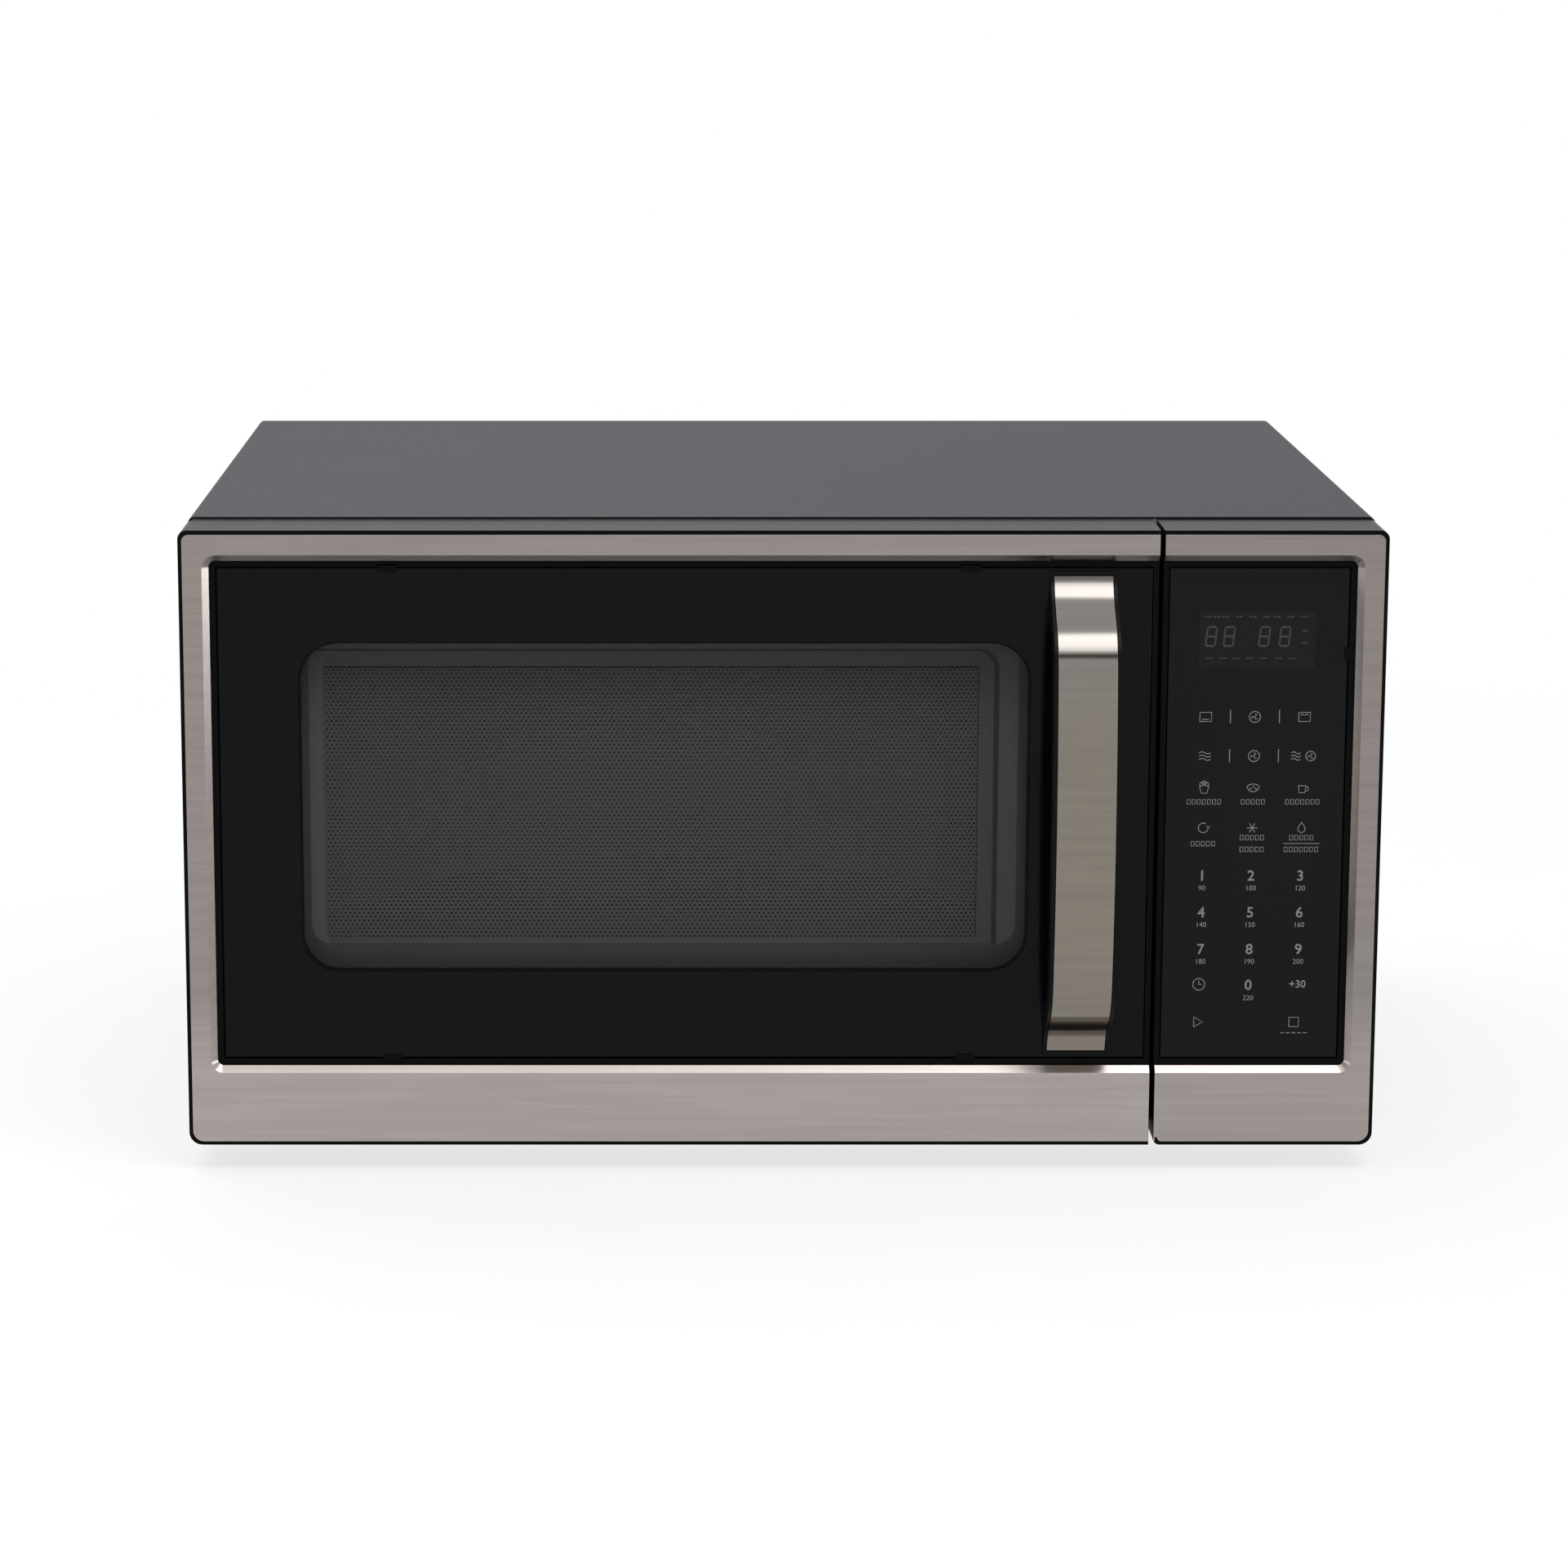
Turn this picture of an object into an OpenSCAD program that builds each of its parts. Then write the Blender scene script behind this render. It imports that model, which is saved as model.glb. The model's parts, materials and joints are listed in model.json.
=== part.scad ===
// Countertop convection microwave oven: a steel case with a side-hinged door and a touch panel.
// X = 0 is the middle of the front, the front faces -Y, and the feet stand on Z = 0.

/* [Front and case] */
// Thickness of the door and of the control panel
front_t = 38; // [36:0.5:44]
// Width of the control panel
panel_w = 100; // [90:1:130]
// Rear wall of the cavity to the back of the case
rear_room = 56; // [54:1:80]
// Height of the feet
foot_h = 12; // [8:1:20]
// How far the sides of the case stay inside the outline of the front
case_inset = 1; // [1:0.5:3]
// How far the top of the case stands above the top of the front
case_rise = 1; // [-1:0.5:1.5]
// Radius of the top edges of the case
case_r = 3; // [2:0.5:5]
// Thickness of the sheet steel
sheet = 0.8; // [0.6:0.1:1]
// Gap left between pieces that are fitted together
fit = 0.3; // [0.2:0.05:0.4]

/* [Oven cavity] */
// Inside width
cavity_w = 350; // [320:1:400]
// Inside height
cavity_h = 210; // [190:1:240]
// Inside depth
cavity_d = 318; // [290:1:350]
// Cavity floor above the underside of the front
cavity_rise = 34; // [31:1:44]
// Cavity ceiling below the top of the front
cavity_head = 39; // [35:1:50]
// Radius of the vertical corners of the cavity mouth
mouth_r = 6; // [3:1:12]

/* [Door] */
// How far the door panel laps over the steel face round the cavity
seal_lap = 22; // [20:1:25]
// Hinge bosses to the door panel
hinge_gap = 3; // [1:0.5:8]
// Room for the latch between the door panel and the free edge
latch_room = 23; // [21:0.5:30]
// Gap between the door and the control panel
door_gap = 2; // [1.6:0.1:3]
// Gap between the door and the steel face behind it
seal_gap = 1.2; // [0.8:0.1:2]
// Hinge axis to the left edge of the door
hinge_inset = 11; // [10:0.5:12]
// Hinge axis to the steel face
hinge_reach = 16; // [16:0.5:17]
// Radius of the hinge pins
hinge_pin_r = 3; // [2.5:0.1:3.5]
// Running clearance of a pin in its bush
running = 0.05; // [0.02:0.01:0.08]
// Hinge arm to the top and bottom edges of the door
hinge_end = 9; // [8:0.5:10]

/* [Bezels and trim] */
// Wall of the plastic mouldings
wall = 2.4; // [2:0.1:3]
// Radius of the upper corners of the front
top_r = 4; // [3:0.5:6]
// Radius of the lower corners of the front
low_r = 6; // [3:0.5:8]
// Black edge that shows outside the steel trim
trim_border = 1.8; // [1.2:0.1:2.4]
// Front edge to recess, at the sides
side_band = 13.5; // [11:0.5:18]
// Front edge to recess, at the top
top_band = 14; // [11:0.5:18]
// Front edge to recess, at the bottom
bottom_band = 37; // [30:0.5:44]
// Width and depth of the slanted lip round the recess
lip_w = 3; // [2.5:0.1:3.6]
// Inside corner radius of the recess
recess_r = 3; // [2:0.5:5]
// Depth from the front to the glass
recess = 4.3; // [4:0.1:5]
// Plastic ledge between the lip and the glass
rim_w = 3.5; // [3:0.1:5]
// Groove between the ledge and the glass
groove = 0.8; // [0.5:0.1:1]

/* [Window] */
// Thickness of the front glass
glass_t = 3.2; // [3:0.1:4]
// Depth from the front to the steel screen
screen_depth = 21.5; // [20:0.5:22]
// Width of the clear window in the steel door panel
window_w = 306; // [280:1:310]
// Height of the clear window
window_h = 139; // [120:1:150]
// Corner radius of the clear window
window_r = 9; // [5:1:20]

/* [Handle] */
// Centre of the handle to the free edge of the door
handle_inset = 33.8; // [30:0.5:36]
// Height of the handle over the glass
handle_rise = 36.6; // [32:0.5:42]
// Ends of the handle to the top and bottom of the glass
handle_end = 3.4; // [3.4:0.1:12]
// Radius of the gently bowed middle
bow_r = 494; // [400:1:600]
// Radius of the shoulders
shoulder_r = 31; // [28:0.5:34]
// Slope of the flanks
flank_angle = 56; // [50:1:62]
// Radius of the toes that meet the glass
toe_r = 25.8; // [20:0.5:28]
// Slope of the toes where they end
toe_angle = 19; // [15:1:25]
// Height of the toe ends over the glass
toe_h = 1.5; // [1.2:0.1:2]
// Width of the steel strap
strap_w = 26.3; // [22:0.5:30]
// Thickness of the steel strap
strap_t = 1; // [0.8:0.1:1.4]
// Width of the plastic rail on each side of the strap
rail_w = 1.6; // [1.2:0.1:2.4]
// Thickness of the whole grip
grip_t = 10; // [8:0.5:12]

/* [Display] */
// Width of the display
display_w = 53; // [40:1:60]
// Height of the display
display_h = 26; // [18:1:34]
// Middle of the display to the right edge of the front
display_x = 57.3; // [52:0.1:60]
// Middle of the display below the top of the front
display_drop = 49.8; // [44:0.1:60]

/* [Turntable] */
// Edge of the glass plate to the cavity's front and rear
plate_gap = 7; // [5:1:20]
// Thickness of the glass plate
plate_t = 5; // [4:0.5:6]
// Height of the raised edge of the plate
plate_rim = 8; // [5:0.5:12]
// Radius of the rollers
roller_r = 8; // [7:0.5:9]
// Width of a roller
roller_w = 6; // [5:0.5:8]
// Turntable axis to the middle of a roller
roller_track = 98; // [80:1:110]

/* [Fans and heater] */
// Radius of the convection fan
hot_fan_r = 60; // [50:1:64]
// Number of blades on the convection fan
hot_fan_blades = 8; // [6:1:10]
// Ring radius of the tube heater
heater_ring_r = 82; // [78:1:88]
// Radius of the heater tube
heater_tube_r = 3.3; // [3:0.1:4]
// Blade tips of the cooling fan to the side of its bay
fan_tip_gap = 9.2; // [9.1:0.1:16]
// Number of blades on the cooling fan
cool_fan_blades = 5; // [4:1:7]
// Radius of the motor shafts
shaft_r = 3; // [2.5:0.1:3.5]

/* [Latch] */
// Lift of the latch hooks
latch_lift = 4; // [3:0.5:5]
// Thickness of a hook
hook_w = 4; // [3:0.5:5]
// Reach of the hooks past the steel face
hook_reach = 15; // [12:0.5:18]
// Half distance between the two hooks
hook_half = 75; // [60:1:80]

/* [Hidden] */

$fn = 48;
// Overcut that carries a cut clear through a face
cut = 1;

// Outside sizes, built up from the cavity
bush_r = hinge_pin_r + 2;
boss_r = bush_r + 2;
hinge_side = hinge_inset + boss_r + hinge_gap + seal_lap;
door_w = hinge_side + cavity_w + seal_lap + latch_room;
front_w = door_w + door_gap + panel_w;
front_h = cavity_rise + cavity_h + cavity_head;
case_d = cavity_d + rear_room;

// Heights
front_bottom = foot_h;
front_top = foot_h + front_h;
case_bottom = foot_h + 1;
case_top = front_top + case_rise;
recess_bottom = front_bottom + bottom_band;
recess_top = front_top - top_band;
glass_bottom = recess_bottom + rim_w;
glass_top = recess_top - rim_w;
glass_mid = (glass_bottom + glass_top) / 2;

// Depths: the handle stands foremost and the heads of the case screws hindmost
screw_head_t = 2.2;
screw_r = 2;
handle_proud = handle_rise - recess;
total_d = handle_proud + front_t + case_d + screw_head_t;
front_y = handle_proud - total_d / 2;
seam_y = front_y + front_t;
case_back = seam_y + case_d;
door_back = front_t - seal_gap;
lip_depth = recess + 0.2;
glass_back = recess + glass_t;
ledge_t = 2;
ledge_back = glass_back + ledge_t;

// Widths
case_half = front_w / 2 - case_inset;
case_inner = case_half - sheet;
door_left = -front_w / 2;
door_right = door_left + door_w;
panel_left = door_right + door_gap;
open_rim = 3;
glass_left = door_left + side_band + rim_w;
glass_right = door_right - open_rim;

// Oven cavity
cavity_left = door_left + hinge_side;
cavity_right = cavity_left + cavity_w;
cavity_mid = (cavity_left + cavity_right) / 2;
cavity_bottom = front_bottom + cavity_rise;
cavity_top = cavity_bottom + cavity_h;
cavity_back = seam_y + cavity_d;
table_y = seam_y + cavity_d / 2;
plate_r = cavity_d / 2 - plate_gap;
rear_lap = 7;
bay_left = cavity_right + sheet;
bay_mid = (bay_left + case_inner) / 2;
shroud_left = cavity_right + rear_lap + fit;

// Hinge
hinge_x = door_left + hinge_inset;
hinge_y = seam_y - hinge_reach;
arm_t = 2;
arm_half = 6;
pin_h = 10;
stile_r = hinge_reach - 0.8;
lower_arm = front_bottom + hinge_end;
upper_arm = front_top - hinge_end - arm_t;

// Handle outline, measured along the glass from its middle and up from the glass. The bow turns
// by the angle that leaves room for shoulder, flank and toe before the handle's end.
handle_half = (glass_top - glass_bottom) / 2 - handle_end;
bow_angle = flank_angle - acos((handle_half * sin(flank_angle) - shoulder_r
    - toe_r * (1 - cos(flank_angle - toe_angle))
    - (handle_rise - bow_r - toe_h) * cos(flank_angle)) / (bow_r - shoulder_r));
bow_centre = [0, handle_rise - bow_r];
shoulder_centre = bow_centre + (bow_r - shoulder_r) * normal(bow_angle);
shoulder_end = shoulder_centre + shoulder_r * normal(flank_angle);
flank_l = (shoulder_end[1] - toe_h - toe_r * (cos(toe_angle) - cos(flank_angle)))
    / sin(flank_angle);
flank_end = shoulder_end + flank_l * [cos(flank_angle), -sin(flank_angle)];
toe_centre = flank_end + toe_r * normal(flank_angle);
handle_x = door_right - handle_inset;
foot_in = shoulder_centre[0] + shoulder_r - grip_t;
handle_screw_z = (foot_in + handle_half) / 2 - 4;
screw_grip = 7;

// Turntable
roller_z = cavity_bottom + fit + roller_r;
plate_z = roller_z + roller_r + fit;
roller_pin_r = 1.5;

// Latch
latch_rib = 2;
latch_half = 5.7;
latch_x = cavity_right + seal_lap + 2.3 + latch_rib + latch_half;
latch_depth = 26;
latch_t = 3;
latch_mid = glass_mid;
tab_z = latch_mid - 45;
spring_l = 30;
spring_depth = 20.5;
spring_r = 4;
spring_wire = 0.8;
spring_turns = 7;

// Fans and the convection box
hot_fan_y = cavity_back + sheet;
hot_box_d = 30;
hot_z = (cavity_bottom + cavity_top) / 2;
hot_box_w = 2 * (heater_ring_r + 34);
hot_box_h = 2 * (heater_ring_r + 8);
cool_fan_r = bay_mid - shroud_left - fan_tip_gap;
fan_y = cavity_back;
fan_z = front_bottom + 140;

// Fittings on the cavity's walls
guide_y = seam_y + 190;
guide_d = 38;
feed_w = 76;
feed_h = 52;
yoke_l = 62;
lamp_y = cavity_back - 44;
lamp_z = cavity_top - 36;
spindle_r = 3.5;
coupler_arm_l = 19;

// Power parts in the bay
core_w = 90;
core_d = 60;
core_h = 76;
leg = 13;
can_r = 16;
gland_r = 6;
gland_x = case_half - 34;
gland_z = case_bottom + 28;

// Control board
board_depth = 14;
board_t = 1.6;

// Inner side of the door
strip_half = 18;
rib_back = latch_depth + latch_t + 1;
panel_low = cavity_bottom - seal_lap;
panel_high = cavity_top + seal_lap;
choke_in = 7;
seal_face = door_back - fit;
clip_x = [door_left + 93, door_right - 84];

function normal(a) = [sin(a), cos(a)];
function arc(c, r, a0, a1, n) = [for (i = [0:n]) c + r * normal(a0 + (a1 - a0) * i / n)];
// Right half of the handle's outer line, moved out by o
function half_line(o) = concat(
    arc(bow_centre, bow_r + o, 0, bow_angle, 6),
    arc(shoulder_centre, shoulder_r + o, bow_angle, flank_angle, 10),
    arc(toe_centre, o - toe_r, flank_angle, toe_angle, 8));
// The same line on the under side, which ends on the glass
function half_under() = concat(
    arc(bow_centre, bow_r - grip_t, 0, bow_angle, 6),
    arc(shoulder_centre, shoulder_r - grip_t, bow_angle, 90, 10));
function flip(p) = [for (i = [len(p) - 1:-1:1]) [-p[i][0], p[i][1]]];
function back_to_front(p) = [for (i = [len(p) - 1:-1:0]) p[i]];
function both(p) = concat(flip(p), p);

// ---------- shared shapes ----------

// Stands a flat shape, drawn in X and Z, between two depths behind the front
module on_front(near, far) {
    translate([0, front_y + far, 0]) rotate([90, 0, 0]) linear_extrude(far - near) children();
}

// Block between two corners
module block(a, b) {
    translate(a) cube(b - a);
}

module rounded(x0, x1, z0, z1, r) {
    translate([x0 + r, z0]) square([x1 - x0 - 2 * r, z1 - z0]);
    translate([x0, z0 + r]) square([x1 - x0, z1 - z0 - 2 * r]);
    for (x = [x0 + r, x1 - r], z = [z0 + r, z1 - r]) translate([x, z]) circle(r);
}

// Rectangle with round corners on its left side only, of one radius below and another above
module left_rounded(x0, x1, z0, z1, low, high) {
    translate([x0 + low, z0]) square([x1 - x0 - low, z1 - z0 - high]);
    translate([x0 + high, z0 + low]) square([x1 - x0 - high, z1 - z0 - low]);
    translate([x0, z0 + low]) square([low + high, z1 - z0 - low - high]);
    translate([x0 + low, z0 + low]) circle(low);
    translate([x0 + high, z1 - high]) circle(high);
}

// Upright slot with round ends
module slot(l, w) {
    square([w, l - w], center = true);
    for (y = [-1, 1]) translate([0, y * (l - w) / 2]) circle(w / 2, $fn = 24);
}

// Cylinder along Y that starts at the child's place and points backwards
module rod_y(r, l) {
    rotate([-90, 0, 0]) cylinder(r = r, h = l);
}

// ---------- bezels: the closed side is at x = 0, the open side at x = w ----------

module recess_hole(w, grow) {
    r = recess_r + grow;
    left_rounded(side_band - grow, w + cut, recess_bottom - grow, recess_top + grow, r, r);
}

module glass_outline(w, grow) {
    translate([side_band + rim_w - grow, glass_bottom - grow])
        square([w - open_rim - side_band - rim_w + 2 * grow, glass_top - glass_bottom + 2 * grow]);
}

module bezel_outline(w) {
    left_rounded(0, w, front_bottom, front_top, low_r, top_r);
}

// Room inside a moulding's side walls, with flat corners
module bezel_inside(w) {
    low = front_bottom + wall;
    high = front_top - wall;
    polygon([[low_r, low], [w - wall, low], [w - wall, high], [top_r, high],
        [wall, front_top - top_r], [wall, front_bottom + low_r]]);
}

// Cross-section of the lip: x runs away from the recess, y runs backwards
module lip_section() {
    slant = sheet * sqrt(2);
    polygon([[lip_w, 0], [lip_w, slant], [sheet, lip_w + slant - sheet], [sheet, lip_depth],
        [0, lip_depth], [0, lip_w]]);
}

module lip_run(a, l) {
    rotate([0, a, 0]) linear_extrude(l) lip_section();
}

module lip_corner(a) {
    rotate([0, a, 0]) rotate([-90, 0, 0]) rotate_extrude(angle = 90)
        translate([recess_r, 0]) lip_section();
}

module trim(w) {
    end = w - 0.2;
    run = end - side_band - recess_r;
    on_front(0, sheet) difference() {
        left_rounded(trim_border, end, front_bottom + trim_border, front_top - trim_border,
            low_r - trim_border / 2, top_r - trim_border / 2);
        recess_hole(w, lip_w);
    }
    translate([end, front_y, recess_top]) lip_run(-90, run);
    translate([side_band, front_y, recess_top - recess_r])
        lip_run(180, recess_top - recess_bottom - 2 * recess_r);
    translate([side_band + recess_r, front_y, recess_bottom]) lip_run(90, run);
    translate([side_band + recess_r, front_y, recess_top - recess_r]) lip_corner(180);
    translate([side_band + recess_r, front_y, recess_bottom + recess_r]) lip_corner(90);
}

// Front ring, ledge round the glass and ledge behind it
module bezel_face(w) {
    on_front(sheet, lip_depth) difference() {
        bezel_outline(w);
        recess_hole(w, lip_w + 0.2);
    }
    on_front(lip_depth, glass_back) difference() {
        bezel_outline(w);
        glass_outline(w, groove);
    }
    on_front(glass_back, ledge_back) difference() {
        bezel_outline(w);
        glass_outline(w, -5);
    }
}

// Way of the lip through the wall at the open side
module lip_way(w) {
    on_front(sheet - cut, lip_depth) recess_hole(w, lip_w + 0.2);
}

// ---------- case ----------

module vent_rows(cols, rows, l, w, step_x, step_z) {
    for (i = [0:cols - 1], j = [0:rows - 1])
        translate([(i - (cols - 1) / 2) * step_x, (j - (rows - 1) / 2) * step_z]) slot(l, w);
}

module cover_outline(inset) {
    r = case_r - inset;
    x = case_half - inset;
    translate([-x, case_bottom]) square([2 * x, case_top - inset - r - case_bottom]);
    translate([r - x, case_bottom]) square([2 * (x - r), case_top - inset - case_bottom]);
    for (s = [-1, 1]) translate([s * (x - r), case_top - inset - r]) circle(r);
}

// What is left of a flat shape above a height
module above(z) {
    difference() {
        children();
        translate([-front_w, case_bottom - cut]) square([2 * front_w, z - case_bottom + cut]);
    }
}

module outer_cover() {
    flange = 14;
    color("dimgray") difference() {
        union() {
            on_front(front_t, front_t + case_d) difference() {
                cover_outline(0);
                cover_outline(sheet);
                translate([-case_inner, case_bottom - cut]) square([2 * case_inner, 2 * cut]);
            }
            on_front(front_t + case_d - sheet, front_t + case_d) difference() {
                cover_outline(0);
                translate([flange - case_half, case_bottom - cut])
                    square([2 * (case_half - flange), case_top - flange - case_bottom + cut]);
            }
        }
        // louvres beside the magnetron and beside the cavity
        for (s = [-1, 1]) translate([s * (case_half - 10), case_back - 95, front_bottom + 95])
            rotate([90, 0, s * 90]) linear_extrude(20) vent_rows(9, 2, 26, 3, 8, 32);
        case_screw_places() translate([0, -5, 0]) rod_y(screw_r + 0.1, 10);
    }
}

module case_screw_places() {
    for (s = [-1, 1], z = [case_bottom + 40, (case_bottom + case_top) / 2, case_top - 40])
        translate([s * (case_half - 8), case_back, z]) children();
    for (x = [-case_half / 2, 0, case_half / 2]) translate([x, case_back, case_top - 8]) children();
}

module case_screws() {
    color("silver") case_screw_places() {
        rod_y(4, screw_head_t);
        translate([0, -6, 0]) rod_y(screw_r, 6);
    }
}

module base_plate() {
    top = case_bottom + sheet;
    edge = case_inner - fit;
    color("silver") difference() {
        union() {
            block([-edge, seam_y + sheet, case_bottom], [edge, case_back - 2 * sheet, top]);
            for (s = [0, 1]) mirror([s, 0, 0])
                block([-edge, seam_y + sheet, top], [sheet - edge, case_back - 2 * sheet, top + 11]);
            // pressed beads that stiffen the sheet under the cavity
            for (i = [-1:1]) translate([cavity_mid + i * 90, table_y + 95, top])
                linear_extrude(2) slot(90, 12);
        }
        foot_places() translate([0, 0, -cut]) cylinder(r = 5, h = 5);
        translate([bay_mid, fan_y - 40, 0]) linear_extrude(2 * foot_h) vent_rows(8, 2, 30, 4, 9, 38);
    }
}

module foot_places() {
    for (s = [-1, 1], y = [seam_y + 42, case_back - 40])
        translate([s * (case_half - 45), y, case_bottom]) children();
}

module feet() {
    color("#222222") foot_places() {
        translate([0, 0, -case_bottom]) rotate_extrude() polygon([[0, 0], [9, 0], [11, 2],
            [12, case_bottom], [4.8, case_bottom], [4.8, case_bottom + sheet],
            [6.2, case_bottom + sheet], [4, case_bottom + sheet + 3], [0, case_bottom + sheet + 3]]);
    }
}

module back_plate() {
    near = front_t + case_d - 2 * sheet;
    color("silver") difference() {
        on_front(near, near + sheet) cover_outline(sheet + fit);
        on_front(near - cut, near + 2 * cut) {
            translate([bay_mid, fan_z]) vent_rows(9, 3, 28, 4, 9, 36);
            translate([cavity_mid, hot_z]) vent_rows(9, 2, 24, 4, 9, 32);
            translate([gland_x, gland_z]) circle(gland_r);
        }
        case_screw_places() translate([0, -5, 0]) rod_y(screw_r + 0.1, 10);
    }
}

// Empty bush for a mains lead, low on the back
module cord_gland() {
    color("#202020") translate([gland_x, case_back, gland_z]) difference() {
        union() {
            translate([0, -sheet, 0]) rod_y(gland_r + 3, 2 * sheet);
            translate([0, -4, 0]) rod_y(gland_r - 0.1, 4);
            translate([0, -4, 0]) rod_y(gland_r + 2, 4 - 2 * sheet);
        }
        translate([0, -10, 0]) rod_y(3.6, 20);
    }
}

module hook_slot(x0, x1) {
    for (s = [-1, 1]) translate([x0, latch_mid + s * hook_half - 11]) square([x1 - x0, 23 + latch_lift]);
}

module front_plate() {
    edge = sheet + fit;
    low = case_bottom + edge;
    color("silver") difference() {
        union() {
            on_front(front_t, front_t + sheet) above(low) cover_outline(edge);
            on_front(front_t + sheet, front_t + 11) above(low + 12) difference() {
                cover_outline(edge);
                cover_outline(edge + sheet);
            }
        }
        on_front(front_t - cut, front_t + 2 * cut) {
            rounded(cavity_left, cavity_right, cavity_bottom, cavity_top, mouth_r);
            hook_slot(latch_x - hook_w, latch_x + hook_w + 2);
            for (z = [lower_arm, upper_arm]) translate([hinge_x - arm_half - fit, z - fit])
                square([2 * (arm_half + fit), arm_t + 2 * fit]);
            // way for the control wiring
            rounded(panel_left + 20, panel_left + 70, front_bottom + 60, front_bottom + 120, 5);
        }
    }
}

// ---------- oven cavity ----------

module cavity_section() {
    difference() {
        rounded(cavity_left - sheet, cavity_right + sheet, cavity_bottom - sheet, cavity_top + sheet,
            mouth_r + sheet);
        rounded(cavity_left, cavity_right, cavity_bottom, cavity_top, mouth_r);
    }
}

module lower_part() {
    translate([cavity_left - 2 * cut, cavity_bottom - 2 * cut])
        square([cavity_w + 4 * cut, mouth_r + 2 * cut]);
}

module cavity_wrap() {
    color("#9a9a9c") difference() {
        on_front(front_t + sheet, front_t + cavity_d) difference() {
            cavity_section();
            lower_part();
        }
        block([cavity_right - cut, guide_y - feed_w / 2, fan_z - feed_h / 2],
            [cavity_right + 2 * cut, guide_y + feed_w / 2, fan_z + feed_h / 2]);
        // lamp light comes in through a patch of small holes
        for (i = [-2:2], j = [-2:2]) if (abs(i) + abs(j) < 4)
            translate([cavity_right - cut, lamp_y + 3.4 * i, lamp_z + 3.4 * j])
                rotate([0, 90, 0]) cylinder(r = 1.1, h = 3 * cut, $fn = 16);
    }
}

module cavity_floor() {
    color("#9a9a9c") difference() {
        on_front(front_t + sheet, front_t + cavity_d) intersection() {
            cavity_section();
            lower_part();
        }
        translate([cavity_mid, table_y, cavity_bottom - 5]) cylinder(r = spindle_r + 1.5, h = 10);
    }
}

module cavity_rear_wall() {
    color("#9a9a9c") on_front(front_t + cavity_d, front_t + cavity_d + sheet) difference() {
        rounded(cavity_left - rear_lap, cavity_right + rear_lap, cavity_bottom - rear_lap,
            cavity_top + rear_lap, rear_lap);
        translate([cavity_mid, hot_z]) circle(hot_fan_r + 6);
        // hot air leaves through slots beside the fan
        for (s = [-1, 1]) translate([cavity_mid + s * (heater_ring_r + 18), hot_z])
            vent_rows(3, 4, 24, 3.4, 7, 32);
    }
}

module fan_grille() {
    rise = 4;
    rim = hot_fan_r + 14;
    color("#a4a4a6") translate([cavity_mid, cavity_back, hot_z]) rotate([90, 0, 0]) difference() {
        rotate_extrude() polygon([[0, rise - sheet], [rim - 9, rise - sheet], [rim - 6, 0], [rim, 0],
            [rim, sheet], [rim - 5.5, sheet], [rim - 8.5, rise], [0, rise]]);
        for (ring = [[12, 10, 20], [20, 34, 22]], i = [0:ring[0] - 1])
            rotate(i * 360 / ring[0]) translate([ring[1], -1.6, 0]) cube([ring[2], 3.2, 3 * rise]);
    }
}

module waveguide() {
    w = guide_d;
    color("#b0b0b0") difference() {
        translate([bay_left, guide_y - feed_w / 2 - 12, fan_z - feed_h / 2 - 18])
            cube([w, feed_w + 24, feed_h + 36]);
        translate([bay_left - cut, guide_y - feed_w / 2 - 12 + sheet, fan_z - feed_h / 2 - 18 + sheet])
            cube([w - sheet + cut, feed_w + 24 - 2 * sheet, feed_h + 36 - 2 * sheet]);
        translate([bay_left, guide_y, fan_z]) rotate([0, 90, 0]) cylinder(r = 13.5, h = 2 * w);
    }
}

module waveguide_cover() {
    color("#c9c0a8") block([cavity_right - sheet, guide_y - feed_w / 2 - 6, fan_z - feed_h / 2 - 6],
        [cavity_right, guide_y + feed_w / 2 + 6, fan_z + feed_h / 2 + 6]);
}

module at_magnetron() {
    translate([bay_left + guide_d, guide_y, fan_z]) rotate([0, 90, 0]) children();
}

module magnetron_yoke() {
    color("#b8b8ba") at_magnetron() difference() {
        translate([-36, -42, 0]) cube([72, 84, yoke_l]);
        translate([-36 + 2, -50, 2]) cube([68, 100, yoke_l - 4]);
        translate([0, 0, -cut]) cylinder(r = 13.5, h = yoke_l + 2 * cut);
    }
}

module magnetron_core() {
    color("#8f7f70") at_magnetron() {
        translate([0, 0, 2]) cylinder(r = 26, h = 9);
        translate([0, 0, yoke_l - 11]) cylinder(r = 26, h = 9);
        translate([0, 0, 11]) cylinder(r = 19, h = yoke_l - 22);
        for (i = [0:5]) translate([-33, -30, 13.5 + i * 6.6]) cube([66, 60, 0.6]);
        translate([0, 0, -22]) cylinder(r = 7, h = 24.5);
        translate([0, 0, -22]) sphere(r = 7);
        translate([0, 0, -5]) cylinder(r = 12, h = 7.5);
    }
}

module magnetron_filter_box() {
    color("#b8b8ba") at_magnetron() {
        translate([-25, -28, yoke_l]) cube([50, 56, 24]);
        for (y = [-8, 8]) translate([-3, y - 0.4, yoke_l + 24]) cube([6, 0.8, 8]);
        translate([0, 0, yoke_l + 24]) translate([-10, -16, 0]) cube([20, 32, 2]);
    }
}

// ---------- power parts in the bay beside the cavity ----------

module at_transformer() {
    translate([bay_mid, seam_y + 92, case_bottom + sheet]) children();
}

module transformer_core() {
    color("#4a4a4c") at_transformer() difference() {
        union() {
            translate([-core_w / 2, -core_d / 2, 2]) cube([core_w, core_d, core_h]);
            translate([-core_w / 2 - 8, -core_d / 2, 0]) cube([core_w + 16, core_d, 2]);
        }
        for (s = [-1, 1]) translate([s * (leg + 8.2) - 8.2, -core_d, leg + 2])
            cube([16.4, 2 * core_d, core_h - 2 * leg]);
    }
}

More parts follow.
